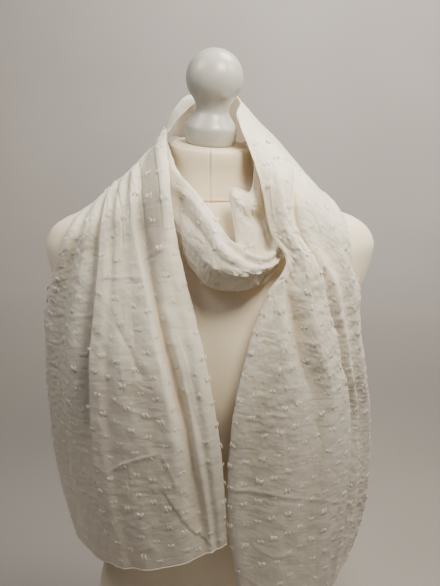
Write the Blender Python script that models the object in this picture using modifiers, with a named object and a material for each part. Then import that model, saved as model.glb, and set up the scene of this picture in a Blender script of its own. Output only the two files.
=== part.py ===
"""Chiffon scarf wound once round the neck of a limbless dress form.

Metres, +Z up, front faces -Y, the viewer's left is -X. The origin is the centre of the
form's flat base. The scarf is one length of cloth. It is modelled as five stretches that
meet end to end, in this order along the cloth:

    tail_left, nape_lower, loop_front, nape_upper, tail_right

Every stretch is a loft through short sections across the cloth. The edge nearer the neck
is the inner edge (0 across), the other one is the outer edge (1 across).
"""
import math
from collections import namedtuple

import bpy
import numpy as np

OBJECT_NAME = "chiffon_scarf_on_dress_form"

# Driving sizes
CLOTH_WALL = 0.0012        # thickness of the cloth walls
STRETCH_GAP = 0.0003       # between stretches, and between the neck and its cap
SEAM_SLACK = 0.0005        # more at the stretches, whose ends are curved
FORM_CLEARANCE = 0.0013    # least distance from the form to the middle of a cloth wall
PLEAT_COUNT = 3            # gathers across the cloth beside and behind the neck
PLEAT_HEIGHT = 0.0004
PLEAT_BLEND = 0.16         # share of a stretch over which the gathers turn into its folds
MM = 0.001

# The dress form: half its width, and its reach to the front and back, at each height
FormSection = namedtuple("FormSection", "height half_width front back")
FORM_SECTIONS = (
    FormSection(0.000, 0.148, 0.096, 0.104),    # flat base
    FormSection(0.012, 0.153, 0.100, 0.109),
    FormSection(0.060, 0.161, 0.104, 0.115),    # hips
    FormSection(0.110, 0.156, 0.102, 0.110),
    FormSection(0.170, 0.138, 0.094, 0.092),
    FormSection(0.225, 0.127, 0.088, 0.080),    # waist
    FormSection(0.290, 0.134, 0.095, 0.082),
    FormSection(0.360, 0.149, 0.108, 0.090),
    FormSection(0.425, 0.162, 0.117, 0.097),    # bust
    FormSection(0.480, 0.173, 0.113, 0.102),
    FormSection(0.530, 0.187, 0.102, 0.102),
    FormSection(0.565, 0.197, 0.091, 0.097),
    FormSection(0.588, 0.2005, 0.084, 0.091),   # shoulder tips
    FormSection(0.604, 0.194, 0.078, 0.085),
    FormSection(0.616, 0.180, 0.074, 0.080),
    FormSection(0.627, 0.152, 0.070, 0.074),
    FormSection(0.641, 0.112, 0.064, 0.067),
    FormSection(0.655, 0.078, 0.058, 0.061),
    FormSection(0.668, 0.0575, 0.053, 0.056),   # foot of the neck
    FormSection(0.682, 0.0505, 0.050, 0.053),
    FormSection(0.697, 0.0490, 0.0485, 0.051),
    FormSection(0.7035, 0.0470, 0.0465, 0.049),
    FormSection(0.7065, 0.0430, 0.0425, 0.045),  # rounded rim of the neck's flat top
)
FORM_SQUARENESS = 2.3      # exponent of the form's plan: 2 is an ellipse
FORM_ROWS = 40
FORM_COLUMNS = 40
BUST_HEIGHT = 0.425
BUST_SPACING = 0.078       # from the centre line to the middle of each side of the bust
BUST_DEPTH = 0.012
BUST_WIDTH = 0.045
BUST_RISE = 0.055

# The top of the neck, and the cap on it, lean to the front and to +X
LEAN_FORWARD = math.radians(5.0)
LEAN_RIGHT = math.radians(4.5)
LEAN_STARTS = 0.655        # height at which the neck begins to lean

# The turned cap: a foot, a narrow throat and a round knob
CAP_FOOT_RADIUS = 0.0275
CAP_FLARE_RADIUS = 0.0305
CAP_FLARE_HEIGHT = 0.017
CAP_THROAT_RADIUS = 0.0195
CAP_THROAT_HEIGHT = 0.039
CAP_KNOB_RADIUS = 0.033
CAP_KNOB_HEIGHT = 0.0745   # height of the knob's centre
CAP_STEPS = 22             # round the turned cap

# A section across the cloth: points on it from the inner to the outer edge, in millimetres
Section = namedtuple("Section", "inner middle outer")
# The same with four points, where the cloth is rounder
RoundSection = namedtuple("RoundSection", "inner upper lower outer")
# A section of the front loop, whose cloth turns over a lip between its two edges
LoopSection = namedtuple("LoopSection", "back lip belly lower")

LEFT_SHOULDER = Section((-57, 35, 723), (-84, 40, 681), (-130, 40, 634))
RIGHT_SHOULDER = RoundSection((38, 39, 752), (71, 42, 721), (106, 42, 683), (135, 42, 634))
LEFT_OF_NECK = LoopSection((-52, 22, 718), (-58, 24, 708), (-63, 26, 694), (-68, 28, 680))
RIGHT_OF_NECK = LoopSection((53, 22, 714), (59, 22, 698), (65, 24, 682), (70, 24, 666))

TAIL_LEFT_SECTIONS = (
    LEFT_SHOULDER,
    Section((-52, 0, 723), (-93, 0, 678), (-157, 0, 624)),
    Section((-50, -41, 713), (-96, -47, 670), (-164, -38, 617)),
    Section((-43, -88, 676), (-98, -84, 648), (-171, -64, 598)),
    Section((-36, -98, 620), (-105, -96, 602), (-187, -48, 558)),
    Section((-23, -113, 556), (-115, -110, 545), (-202, -25, 510)),
    Section((-6, -132, 490), (-122, -122, 480), (-207, -16, 450)),
    Section((6, -139, 420), (-122, -124, 410), (-208, -16, 385)),
    Section((15, -140, 330), (-115, -128, 310), (-203, -18, 295)),
    Section((19, -140, 257), (-98, -132, 219), (-182, -34, 207)),
)
TAIL_RIGHT_SECTIONS = (
    RIGHT_SHOULDER,
    Section((32, 2, 741), (86, 0, 696), (153, 0, 630)),
    Section((35, -26, 728), (92, -28, 688), (157, -20, 626)),
    Section((42, -46, 712), (98, -50, 680), (160, -42, 620)),
    Section((54, -89, 673), (102, -86, 655), (162, -66, 602)),
    Section((65, -104, 621), (111, -100, 610), (166, -68, 572)),
    Section((81, -116, 590), (122, -108, 578), (175, -62, 543)),
    Section((61, -122, 558), (118, -114, 540), (179, -55, 505)),
    Section((42, -130, 505), (112, -124, 480), (192, -40, 440)),
    Section((26, -140, 430), (120, -124, 405), (207, -16, 370)),
    Section((19, -140, 340), (122, -126, 315), (212, -16, 290)),
    Section((21, -140, 260), (118, -128, 235), (206, -16, 215)),
    Section((40, -140, 165), (105, -132, 140), (185, -40, 172)),
)
NAPE_LOWER_SECTIONS = (
    LEFT_SHOULDER,
    Section((-55, 62, 706), (-76, 78, 666), (-100, 88, 622)),
    Section((-34, 70, 692), (-44, 90, 656), (-52, 104, 612)),
    Section((0, 66, 694), (0, 82, 655), (0, 102, 612)),
    Section((32, 58, 700), (38, 70, 664), (46, 84, 628)),
    RIGHT_OF_NECK,
)
NAPE_UPPER_SECTIONS = (
    LEFT_OF_NECK,
    Section((-36, 44, 737), (-45, 51, 743), (-49, 57, 712)),
    Section((-19, 61, 752), (-27, 74, 757), (-34, 92, 708)),
    Section((4, 70, 760), (5, 90, 742), (6, 110, 688)),
    Section((24, 62, 763), (44, 86, 715), (66, 100, 662)),
    RIGHT_SHOULDER,
)
LOOP_SECTIONS = (
    RIGHT_OF_NECK,
    LoopSection((48, -33, 709), (59, -36, 695), (68, -38, 680), (75, -40, 665)),
    LoopSection((50, -56, 684), (67, -71, 648), (75, -78, 623), (79, -81, 600)),
    LoopSection((44, -76, 659), (72, -98, 600), (72, -104, 586), (66, -98, 568)),
    LoopSection((22, -83, 654), (45, -115, 597), (38, -136, 580), (34, -112, 557)),
    LoopSection((30, -84, 600), (25, -114, 609), (12, -136, 588), (6, -110, 558)),
    LoopSection((-3, -73, 624), (3, -99, 636), (-10, -118, 612), (-20, -98, 577)),
    LoopSection((-24, -66, 654), (-21, -82, 665), (-34, -85, 642), (-44, -82, 606)),
    LoopSection((-42, -47, 695), (-47, -58, 690), (-56, -64, 668), (-62, -64, 640)),
    LoopSection((-51, -18, 712), (-57, -20, 700), (-63, -22, 687), (-69, -24, 674)),
    LEFT_OF_NECK,
)

# A fold line: where it is in the cloth, then its place across the stretch and its height in
# millimetres at each of the stretch's levels
Fold = namedtuple("Fold", "name cloth places heights")

LEFT_LEVELS = (0.20, 0.45, 0.70, 1.00)     # shoulder, bust, waist, hem
TAIL_LEFT_FOLDS = (
    Fold("edge_under", 0.00, (0.05, 0.05, 0.05, 0.05), (-6, -7, -7, -5)),
    Fold("edge", 0.04, (0.00, 0.00, 0.00, 0.00), (-1, -1, -1, -1)),
    Fold("border_bead", 0.08, (0.09, 0.05, 0.04, 0.03), (3, 3, 3, 2)),
    Fold("border_slope", 0.12, (0.16, 0.09, 0.065, 0.05), (1, 1, 0, 0)),
    Fold("border_swell", 0.17, (0.25, 0.135, 0.09, 0.07), (-1, 1, 2, 2)),
    Fold("groove_long", 0.23, (0.34, 0.19, 0.12, 0.10), (-2, -7, -6, -2)),
    Fold("ridge_long", 0.29, (0.41, 0.235, 0.18, 0.18), (2, 4, 5, 3)),
    Fold("panel_start", 0.35, (0.47, 0.33, 0.28, 0.27), (-1, 1, 1, 1)),
    Fold("panel_crown", 0.41, (0.53, 0.41, 0.38, 0.38), (1, 2, 2, 2)),
    Fold("panel_dip", 0.47, (0.58, 0.46, 0.46, 0.47), (-1, 1, -1, -1)),
    Fold("panel_swell", 0.53, (0.63, 0.51, 0.52, 0.53), (1, 4, 3, 2)),
    Fold("panel_lip", 0.57, (0.655, 0.555, 0.565, 0.59), (2, 4, 3, 2)),
    Fold("panel_under", 0.61, (0.675, 0.53, 0.55, 0.60), (0, -4, -2, 0)),
    Fold("side_groove", 0.65, (0.70, 0.58, 0.595, 0.64), (-3, -8, -5, 0)),
    Fold("side_swell", 0.72, (0.78, 0.71, 0.72, 0.73), (1, 3, 3, 2)),
    Fold("side_dip", 0.79, (0.86, 0.82, 0.82, 0.82), (-1, -2, -2, -1)),
    Fold("outer_swell", 0.87, (0.92, 0.93, 0.93, 0.92), (2, 4, 3, 2)),
    Fold("outer_edge", 0.94, (0.97, 1.00, 1.00, 1.00), (1, -1, -1, -1)),
    Fold("outer_under", 1.00, (0.98, 0.95, 0.95, 0.96), (-3, -9, -9, -6)),
)
# before the shoulder, shoulder, above and below the loop's end, upper bust, bust, waist, hem
RIGHT_LEVELS = (0.16, 0.26, 0.31, 0.37, 0.46, 0.55, 0.75, 1.00)
TAIL_RIGHT_FOLDS = (
    Fold("edge_under", 0.00, (0.05, 0.05, 0.05, 0.05, 0.05, 0.05, 0.05, 0.05),
         (-6, -6, -7, -8, -8, -8, -7, -5)),
    Fold("edge", 0.04, (0.00, 0.00, 0.00, 0.00, 0.00, 0.00, 0.00, 0.00),
         (-2, -2, -2, -1, -1, -1, -1, -1)),
    Fold("edge_bead", 0.08, (0.04, 0.035, 0.035, 0.045, 0.05, 0.05, 0.04, 0.04),
         (-1, -1, 0, 2, 3, 3, 3, 2)),
    Fold("panel_dip", 0.14, (0.08, 0.06, 0.06, 0.075, 0.14, 0.15, 0.12, 0.12),
         (1, 0, 0, 1, -1, -2, -1, -1)),
    Fold("panel_swell", 0.21, (0.12, 0.09, 0.08, 0.105, 0.25, 0.30, 0.25, 0.25),
         (3, 2, 0, 0, 2, 2, 3, 2)),
    Fold("groove_front", 0.29, (0.17, 0.125, 0.11, 0.150, 0.375, 0.48, 0.46, 0.44),
         (5, 4, 1, -3, -6, -3, 0, 0)),
    Fold("tube_crown", 0.37, (0.28, 0.21, 0.25, 0.34, 0.53, 0.62, 0.59, 0.59),
         (8, 8, 8, 7, 9, 8, 6, 5)),
    Fold("tube_lip", 0.44, (0.41, 0.31, 0.36, 0.52, 0.70, 0.745, 0.72, 0.735),
         (4, 4, 5, 5, 6, 6, 6, 4)),
    Fold("tube_under", 0.48, (0.435, 0.335, 0.375, 0.53, 0.68, 0.72, 0.695, 0.71),
         (0, -1, -1, -1, -4, -4, -4, -3)),
    Fold("tube_groove", 0.52, (0.465, 0.36, 0.405, 0.57, 0.74, 0.78, 0.76, 0.765),
         (-3, -4, -5, -6, -9, -9, -8, -6)),
    Fold("side_swell", 0.60, (0.58, 0.46, 0.52, 0.68, 0.81, 0.835, 0.82, 0.82),
         (2, 1, 1, 3, 3, 3, 3, 2)),
    Fold("side_dip", 0.68, (0.72, 0.64, 0.70, 0.80, 0.875, 0.885, 0.88, 0.88),
         (2, 1, -1, -2, -2, -3, -3, -2)),
    Fold("outer_swell", 0.78, (0.86, 0.84, 0.87, 0.91, 0.945, 0.945, 0.945, 0.945),
         (2, 2, 3, 3, 3, 3, 3, 2)),
    Fold("outer_edge", 0.89, (0.96, 0.97, 0.985, 1.00, 1.00, 1.00, 1.00, 1.00),
         (1, 1, 0, -1, -1, -1, -1, -1)),
    Fold("outer_under", 1.00, (0.98, 0.98, 0.965, 0.95, 0.95, 0.95, 0.95, 0.96),
         (-3, -3, -6, -9, -9, -9, -9, -6)),
)
# behind the right tail, right end, turn of the lip, middle, left end
LOOP_LEVELS = (0.25, 0.38, 0.47, 0.60, 0.80)
LOOP_FOLDS = (
    Fold("back_edge", 0.00, (0.00, 0.00, 0.00, 0.00, 0.00), (0, 0, 0, 0, 0)),
    Fold("back_band", 0.07, (0.06, 0.055, 0.06, 0.07, 0.07), (0, 2, 2, 0, 0)),
    Fold("back_dip", 0.18, (0.17, 0.12, 0.15, 0.18, 0.18), (-5, -4, -3, -2, -1)),
    Fold("lip_under", 0.29, (0.27, 0.28, 0.305, 0.29, 0.28), (-1, -6, -7, -3, -1)),
    Fold("lip", 0.36, (0.33, 0.335, 0.36, 0.335, 0.33), (2, 4, 4, 2, 1)),
    Fold("lip_dip", 0.43, (0.40, 0.40, 0.415, 0.40, 0.40), (0, 0, -1, 2, 1)),
    Fold("roll", 0.50, (0.47, 0.50, 0.50, 0.46, 0.47), (-1, 4, 3, 3, 1)),
    Fold("hollow", 0.64, (0.64, 0.60, 0.60, 0.62, 0.64), (2, -2, -1, -2, 0)),
    Fold("low_swell", 0.80, (0.80, 0.80, 0.80, 0.80, 0.80), (-3, -3, -2, 1, 0)),
    Fold("lower_edge", 0.91, (0.93, 0.98, 1.00, 1.00, 0.93), (0, 0, 0, 0, 0)),
    Fold("lower_under", 1.00, (1.00, 0.96, 0.95, 0.95, 1.00), (-1, -4, -6, -6, -1)),
)

TAIL_ROWS = 25
LOOP_ROWS = 31
NAPE_ROWS = 17
NAPE_COLUMNS = 17
STEPS_PER_FOLD = 2         # columns of the cloth's grid from each fold line to the next

# Finishes, from the photographed object: colour, roughness
CHIFFON = ("ivory_chiffon", (0.86, 0.83, 0.74, 1.0), 0.85)
FORM_CLOTH = ("form_jersey", (0.80, 0.72, 0.60, 1.0), 0.90)
CAP_PLASTIC = ("cap_white_plastic", (0.82, 0.81, 0.79, 1.0), 0.35)


def smooth_curve(at, knots, values):
    """Values at `at` on a smooth curve through (knots, values); rows of values may be arrays."""
    at, knots, values = (np.asarray(item, float) for item in (at, knots, values))
    widths = np.diff(knots)
    slopes = np.diff(values, axis=0) / widths.reshape((-1,) + (1,) * (values.ndim - 1))
    tangents = np.empty_like(values)
    before = widths[:-1].reshape((-1,) + (1,) * (values.ndim - 1))
    after = widths[1:].reshape(before.shape)
    tangents[1:-1] = (slopes[:-1] * after + slopes[1:] * before) / (before + after)
    tangents[0] = 2 * slopes[0] - tangents[1]
    tangents[-1] = 2 * slopes[-1] - tangents[-2]
    return hermite(at, knots, values, tangents)


def level_curve(at, knots, values):
    """Like smooth_curve, but it never overshoots the values."""
    at, knots, values = (np.asarray(item, float) for item in (at, knots, values))
    widths = np.diff(knots).reshape((-1,) + (1,) * (values.ndim - 1))
    slopes = np.diff(values, axis=0) / widths
    same_way = slopes[:-1] * slopes[1:] > 0
    sums = np.where(same_way, slopes[:-1] + slopes[1:], 1.0)
    tangents = np.zeros_like(values)
    tangents[1:-1] = np.where(same_way, 2 * slopes[:-1] * slopes[1:] / sums, 0.0)
    return hermite(np.clip(at, knots[0], knots[-1]), knots, values, tangents)


def hermite(at, knots, values, tangents):
    """Cubic pieces through the values with the given tangents."""
    piece = np.clip(np.searchsorted(knots, at, side="right") - 1, 0, len(knots) - 2)
    shape = at.shape + (1,) * (values.ndim - 1)
    width = np.diff(knots)[piece].reshape(shape)
    t = (at - knots[piece]).reshape(shape) / width
    return (values[piece] * (1 + 2 * t) * (1 - t) ** 2 + tangents[piece] * width * t * (1 - t) ** 2
            + values[piece + 1] * t ** 2 * (3 - 2 * t) + tangents[piece + 1] * width * t ** 2 * (t - 1))


def form_reach(x, height):
    """Half width, front reach and back reach of the form, bust included, at a height."""
    half_width, front, back = level_curve(
        height, [row.height for row in FORM_SECTIONS], [row[1:] for row in FORM_SECTIONS]).T
    bust = BUST_DEPTH * np.exp(-((np.abs(x).T - BUST_SPACING) / BUST_WIDTH) ** 2
                               - ((np.asarray(height).T - BUST_HEIGHT) / BUST_RISE) ** 2)
    return half_width.T, (front + bust).T, back.T


def form_distance(points):
    """Level distance of points from the form, negative inside it."""
    x, y, z = points[..., 0], points[..., 1], points[..., 2]
    half_width, front, back = form_reach(x, z)
    depth = np.where(y < 0, front, back)
    ratio = ((np.abs(x) / half_width) ** FORM_SQUARENESS
             + (np.abs(y) / depth) ** FORM_SQUARENESS) ** (1 / FORM_SQUARENESS)
    level = np.hypot(x, y) * (1 - 1 / ratio)
    return np.where(z < FORM_SECTIONS[-1].height, level, 1.0)


def push_clear(points):
    """Move points straight away from the form until they are FORM_CLEARANCE from it."""
    probe = 0.0005
    for _ in range(3):
        here = form_distance(points)
        slope = np.stack([(form_distance(points + step) - form_distance(points - step)) / (2 * probe)
                          for step in np.eye(3) * probe], axis=-1)
        steepness = np.maximum(np.linalg.norm(slope, axis=-1), probe)
        shortfall = np.maximum(0, FORM_CLEARANCE - here / steepness)
        near = (here < 3 * FORM_CLEARANCE * steepness) & (points[..., 2] < LEAN_STARTS)
        move = np.where(near, shortfall, 0) / steepness
        points = points + slope * move[..., None]
    return points


def guide_points(section):
    """Four points across a section, also for a section that states three."""
    points = np.array(section) * MM
    return points if len(points) == 4 else smooth_curve(np.linspace(0, 1, 4), [0, 0.5, 1], points)


def cloth_base(sections, along, across):
    """Points of a stretch without its folds, at places along it and arrays of places across.

    The curve along the cloth runs through every section of the scarf, from hem to hem, so
    that neighbouring stretches meet smoothly.
    """
    scarf = [*reversed(TAIL_LEFT_SECTIONS), *NAPE_LOWER_SECTIONS[1:], *LOOP_SECTIONS[1:],
             *NAPE_UPPER_SECTIONS[1:], *TAIL_RIGHT_SECTIONS[1:]]
    guides = np.array([guide_points(section) for section in scarf])
    steps = np.linalg.norm(np.diff(guides.mean(axis=1), axis=0), axis=1)
    distance = np.concatenate([[0], np.cumsum(steps)])
    start, end = (distance[scarf.index(section)] for section in (sections[0], sections[-1]))
    rows = smooth_curve(start + (end - start) * along, distance, guides)
    return np.stack([smooth_curve(places, np.linspace(0, 1, 4), row)
                     for places, row in zip(across, rows)])


def outward(sections, along, places):
    """Unit normals of a stretch, away from the form, at the given places."""
    probe = 0.004
    along_step = (cloth_base(sections, along + probe, places)
                  - cloth_base(sections, along - probe, places))
    across_step = (cloth_base(sections, along, places + probe)
                   - cloth_base(sections, along, places - probe))
    normal = np.cross(across_step, along_step)
    normal /= np.linalg.norm(normal, axis=-1, keepdims=True)
    points = cloth_base(sections, along, places)
    faces_out = np.sum(normal[..., :2] * points[..., :2]) > 0
    return normal if faces_out else -normal


def gathers(cloth):
    """Places and heights of the even gathers beside the neck."""
    return cloth, PLEAT_HEIGHT * np.sin(2 * math.pi * PLEAT_COUNT * cloth)


def folded_profile(folds, levels, along, cloth):
    """Places across and heights of the fold lines, for each row along the stretch."""
    lines = [fold.cloth for fold in folds]
    places = level_curve(along, levels, np.array([fold.places for fold in folds]).T)
    heights = level_curve(along, levels, np.array([fold.heights for fold in folds]).T) * MM
    return (np.stack([level_curve(cloth, lines, row) for row in places]),
            np.stack([level_curve(cloth, lines, row) for row in heights]))


def blend(start, end, values):
    """Smooth step from 0 at start to 1 at end."""
    t = np.clip((values - start) / (end - start), 0, 1)
    return t * t * (3 - 2 * t)


def cloth_columns(folds):
    """Places in the cloth for the grid's columns: each fold line and the steps between."""
    lines = np.array([fold.cloth for fold in folds])
    steps = np.arange(STEPS_PER_FOLD) / STEPS_PER_FOLD
    return np.append((lines[:-1, None] + np.diff(lines)[:, None] * steps).ravel(), lines[-1])


def cloth_grid(sections, folds, levels, rows, gathered_ends):
    """Points of a stretch. gathered_ends tells whether its start and its end are gathered."""
    along = np.linspace(0, 1, rows)
    cloth = cloth_columns(folds) if folds else np.linspace(0, 1, NAPE_COLUMNS)
    even_places, even_heights = gathers(np.broadcast_to(cloth, (rows, len(cloth))))
    places, heights = even_places, even_heights
    if folds:
        folded_places, folded_heights = folded_profile(folds, levels, along, cloth)
        share = np.ones(rows)
        if gathered_ends[0]:
            share = share * blend(0, PLEAT_BLEND, along)
        if gathered_ends[1]:
            share = share * blend(0, PLEAT_BLEND, 1 - along)
        share = share[:, None]
        places = even_places + (folded_places - even_places) * share
        heights = even_heights + (folded_heights - even_heights) * share
    raised = outward(sections, along, places) * heights[..., None]
    return push_clear(cloth_base(sections, along, places) + raised)


def trim_for_gap(grid, ends):
    """Draw the named end rows back by half the gap between stretches."""
    for row, inner_row in ((0, 1), (-1, -2)):
        if ends[row]:
            step = grid[inner_row] - grid[row]
            length = np.linalg.norm(step, axis=-1, keepdims=True)
            grid[row] += step / length * (STRETCH_GAP + SEAM_SLACK) / 2
    return grid


def finish_material(finish):
    """A Principled material in the given colour and roughness."""
    name, colour, roughness = finish
    material = bpy.data.materials.new(name)
    material.use_nodes = True
    shader = material.node_tree.nodes["Principled BSDF"]
    shader.inputs["Base Color"].default_value = colour
    shader.inputs["Roughness"].default_value = roughness
    shader.inputs["Metallic"].default_value = 0.0
    material.diffuse_color = colour
    return material


def add_object(name, mesh, collection, finish):
    """Put a mesh into the collection, shaded smooth and with its own material."""
    item = bpy.data.objects.new(name, mesh)
    collection.objects.link(item)
    mesh.materials.append(finish_material(finish))
    mesh.polygons.foreach_set("use_smooth", [True] * len(mesh.polygons))
    return item


def grid_faces(rows, columns, closed):
    """Quads of a grid of points; a closed grid's last column meets its first."""
    faces = []
    for row in range(rows - 1):
        for column in range(columns if closed else columns - 1):
            following = (column + 1) % columns
            faces.append((row * columns + column, row * columns + following,
                          (row + 1) * columns + following, (row + 1) * columns + column))
    return faces


def add_cloth(name, grid, collection):
    """A stretch of cloth: the grid as an open surface, thickened evenly on both sides."""
    rows, columns = grid.shape[:2]
    mesh = bpy.data.meshes.new(name)
    mesh.from_pydata(grid.reshape(-1, 3).tolist(), [], grid_faces(rows, columns, closed=False))
    item = add_object(name, mesh, collection, CHIFFON)
    wall = item.modifiers.new("wall", "SOLIDIFY")
    wall.thickness = CLOTH_WALL
    wall.offset = 0.0
    return item


def lean(points):
    """Tip the top of the neck to the front and to +X."""
    share = blend(LEAN_STARTS, FORM_SECTIONS[-2].height, points[..., 2])
    points[..., 2] += share * (math.tan(LEAN_FORWARD) * points[..., 1]
                               - math.tan(LEAN_RIGHT) * points[..., 0])
    return points


def add_form(collection):
    """The dress form: a loft through its sections, with a flat base and a flat neck top."""
    angles = np.linspace(0, 2 * math.pi, FORM_COLUMNS, endpoint=False)
    row_heights = level_curve(np.linspace(0, 1, FORM_ROWS), np.linspace(0, 1, len(FORM_SECTIONS)),
                              [row.height for row in FORM_SECTIONS])
    height = np.broadcast_to(row_heights[:, None], (FORM_ROWS, FORM_COLUMNS))
    side, fore = (np.sign(wave) * np.abs(wave) ** (2 / FORM_SQUARENESS)
                  for wave in (np.sin(angles), -np.cos(angles)))
    half_width, _, _ = form_reach(np.zeros_like(height), height)
    x = half_width * side
    _, front, back = form_reach(x, height)
    y = np.where(fore < 0, front, back) * fore
    points = lean(np.stack([x, y, height.copy()], axis=-1))
    mesh = bpy.data.meshes.new("form_torso")
    faces = grid_faces(FORM_ROWS, FORM_COLUMNS, closed=True)
    last_row = (FORM_ROWS - 1) * FORM_COLUMNS
    faces.append(tuple(reversed(range(FORM_COLUMNS))))
    faces.append(tuple(range(last_row, last_row + FORM_COLUMNS)))
    mesh.from_pydata(points.reshape(-1, 3).tolist(), [], faces)
    return add_object("form_torso", mesh, collection, FORM_CLOTH)


def cap_profile():
    """Radius and height down the outer side of the turned cap, from its crown to its foot."""
    join = math.radians(38)             # below the knob's middle, where the throat's curve begins
    knob = [(CAP_KNOB_RADIUS * math.cos(angle), CAP_KNOB_HEIGHT + CAP_KNOB_RADIUS * math.sin(angle))
            for angle in np.linspace(math.pi / 2, -join, 13)]
    knob[0] = (0.0, knob[0][1])
    join_radius, join_height = knob[-1]
    throat = [(CAP_THROAT_RADIUS + (join_radius - CAP_THROAT_RADIUS) * share ** 2,
               CAP_THROAT_HEIGHT + (join_height - CAP_THROAT_HEIGHT) * share)
              for share in (0.7, 0.4, 0.0)]
    cove = [(CAP_FLARE_RADIUS + (CAP_THROAT_RADIUS - CAP_FLARE_RADIUS) * share * share * (3 - 2 * share),
             CAP_FLARE_HEIGHT + (CAP_THROAT_HEIGHT - CAP_FLARE_HEIGHT) * share)
            for share in (0.75, 0.5, 0.25, 0.0)]
    foot = [(CAP_FLARE_RADIUS - 0.0004, CAP_FLARE_HEIGHT / 2), (CAP_FOOT_RADIUS + 0.001, 0.0015),
            (CAP_FOOT_RADIUS, 0.0), (0.0, 0.0)]
    return knob + throat + cove + foot


def add_cap(collection):
    """The turned cap, stood on the leaning top of the neck."""
    mesh = bpy.data.meshes.new("form_neck_cap")
    outline = [(radius, 0.0, height) for radius, height in cap_profile()]
    mesh.from_pydata(outline, [(index, index + 1) for index in range(len(outline) - 1)], [])
    item = add_object("form_neck_cap", mesh, collection, CAP_PLASTIC)
    turned = item.modifiers.new("turned", "SCREW")
    turned.steps = CAP_STEPS
    turned.render_steps = CAP_STEPS
    turned.use_merge_vertices = True
    turned.merge_threshold = 0.0001
    turned.use_smooth_shade = True
    item.location = (0.0, 0.0, FORM_SECTIONS[-1].height + STRETCH_GAP)
    item.rotation_euler = (LEAN_FORWARD, LEAN_RIGHT, 0.0)
    return item


def add_scarf(collection):
    """The five stretches of the scarf."""
    stretches = (
        ("tail_left", TAIL_LEFT_SECTIONS, TAIL_LEFT_FOLDS, LEFT_LEVELS, TAIL_ROWS, (True, False)),
        ("nape_lower", NAPE_LOWER_SECTIONS, None, None, NAPE_ROWS, (True, True)),
        ("loop_front", LOOP_SECTIONS, LOOP_FOLDS, LOOP_LEVELS, LOOP_ROWS, (True, True)),
        ("nape_upper", NAPE_UPPER_SECTIONS, None, None, NAPE_ROWS, (True, True)),
        ("tail_right", TAIL_RIGHT_SECTIONS, TAIL_RIGHT_FOLDS, RIGHT_LEVELS, TAIL_ROWS, (True, False)),
    )
    for name, sections, folds, levels, rows, gathered_ends in stretches:
        grid = cloth_grid(sections, folds, levels, rows, gathered_ends)
        add_cloth(name, trim_for_gap(grid, gathered_ends), collection)


def main():
    for item in list(bpy.data.objects):
        bpy.data.objects.remove(item)
    collection = bpy.data.collections.new(OBJECT_NAME)
    bpy.context.scene.collection.children.link(collection)
    add_form(collection)
    add_cap(collection)
    add_scarf(collection)


main()
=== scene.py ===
"""Chiffon scarf wound once round the neck of a limbless dress form: fine form and finish.

Metres, +Z up, front faces -Y, the viewer's left is -X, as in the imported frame. The scarf is
one length of crinkled chiffon with small woven-in spots of cut yarn. It is five stretches of
cloth that meet end to end: tail_left, nape_lower, loop_front, nape_upper, tail_right. Each
stretch is a surface of two parameters: along it, and across the cloth from its inner edge,
nearer the neck, to its outer edge.
"""

import math
from collections import namedtuple

import bpy
import numpy as np
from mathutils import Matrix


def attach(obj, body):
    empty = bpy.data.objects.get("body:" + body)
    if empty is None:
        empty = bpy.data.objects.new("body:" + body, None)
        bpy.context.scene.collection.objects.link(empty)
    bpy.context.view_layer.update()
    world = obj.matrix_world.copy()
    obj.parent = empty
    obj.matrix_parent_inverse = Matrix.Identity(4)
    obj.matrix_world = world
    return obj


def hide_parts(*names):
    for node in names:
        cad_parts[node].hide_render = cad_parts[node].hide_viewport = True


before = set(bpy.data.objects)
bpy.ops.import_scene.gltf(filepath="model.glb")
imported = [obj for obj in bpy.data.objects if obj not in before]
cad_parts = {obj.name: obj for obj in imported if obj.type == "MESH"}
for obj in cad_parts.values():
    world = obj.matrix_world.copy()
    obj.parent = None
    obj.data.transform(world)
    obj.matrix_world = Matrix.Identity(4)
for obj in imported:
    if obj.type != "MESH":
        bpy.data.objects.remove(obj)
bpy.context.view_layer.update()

MM = 0.001

# ---------------------------------------------------------------- sizes of the dress form

# Half the form's width, and its reach to the front and back, at each height
FormSection = namedtuple("FormSection", "height half_width front back")
FORM_SECTIONS = (
    FormSection(0.000, 0.148, 0.096, 0.104),    # flat base
    FormSection(0.012, 0.153, 0.100, 0.109),
    FormSection(0.060, 0.161, 0.104, 0.115),    # hips
    FormSection(0.110, 0.156, 0.102, 0.110),
    FormSection(0.170, 0.138, 0.094, 0.092),
    FormSection(0.225, 0.127, 0.088, 0.080),    # waist
    FormSection(0.290, 0.134, 0.095, 0.082),
    FormSection(0.360, 0.149, 0.108, 0.090),
    FormSection(0.425, 0.162, 0.117, 0.097),    # bust
    FormSection(0.480, 0.173, 0.113, 0.102),
    FormSection(0.530, 0.187, 0.102, 0.102),
    FormSection(0.565, 0.197, 0.091, 0.097),
    FormSection(0.588, 0.2005, 0.084, 0.091),   # shoulder tips
    FormSection(0.604, 0.194, 0.078, 0.085),
    FormSection(0.616, 0.180, 0.074, 0.080),
    FormSection(0.627, 0.152, 0.070, 0.074),
    FormSection(0.641, 0.112, 0.064, 0.067),
    FormSection(0.655, 0.078, 0.058, 0.061),
    FormSection(0.668, 0.0575, 0.053, 0.056),   # foot of the neck
    FormSection(0.682, 0.0505, 0.050, 0.053),
    FormSection(0.697, 0.0490, 0.0485, 0.051),
    FormSection(0.7035, 0.0470, 0.0465, 0.049),
    FormSection(0.7065, 0.0430, 0.0425, 0.045),  # rounded rim of the neck's flat top
)
FORM_SQUARENESS = 2.3      # exponent of the form's plan: 2 is an ellipse
BUST_HEIGHT = 0.425
BUST_SPACING = 0.078       # from the centre line to the middle of each side of the bust
BUST_DEPTH = 0.012
BUST_WIDTH = 0.045
BUST_RISE = 0.055
LEAN_FORWARD = math.radians(5.0)
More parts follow.
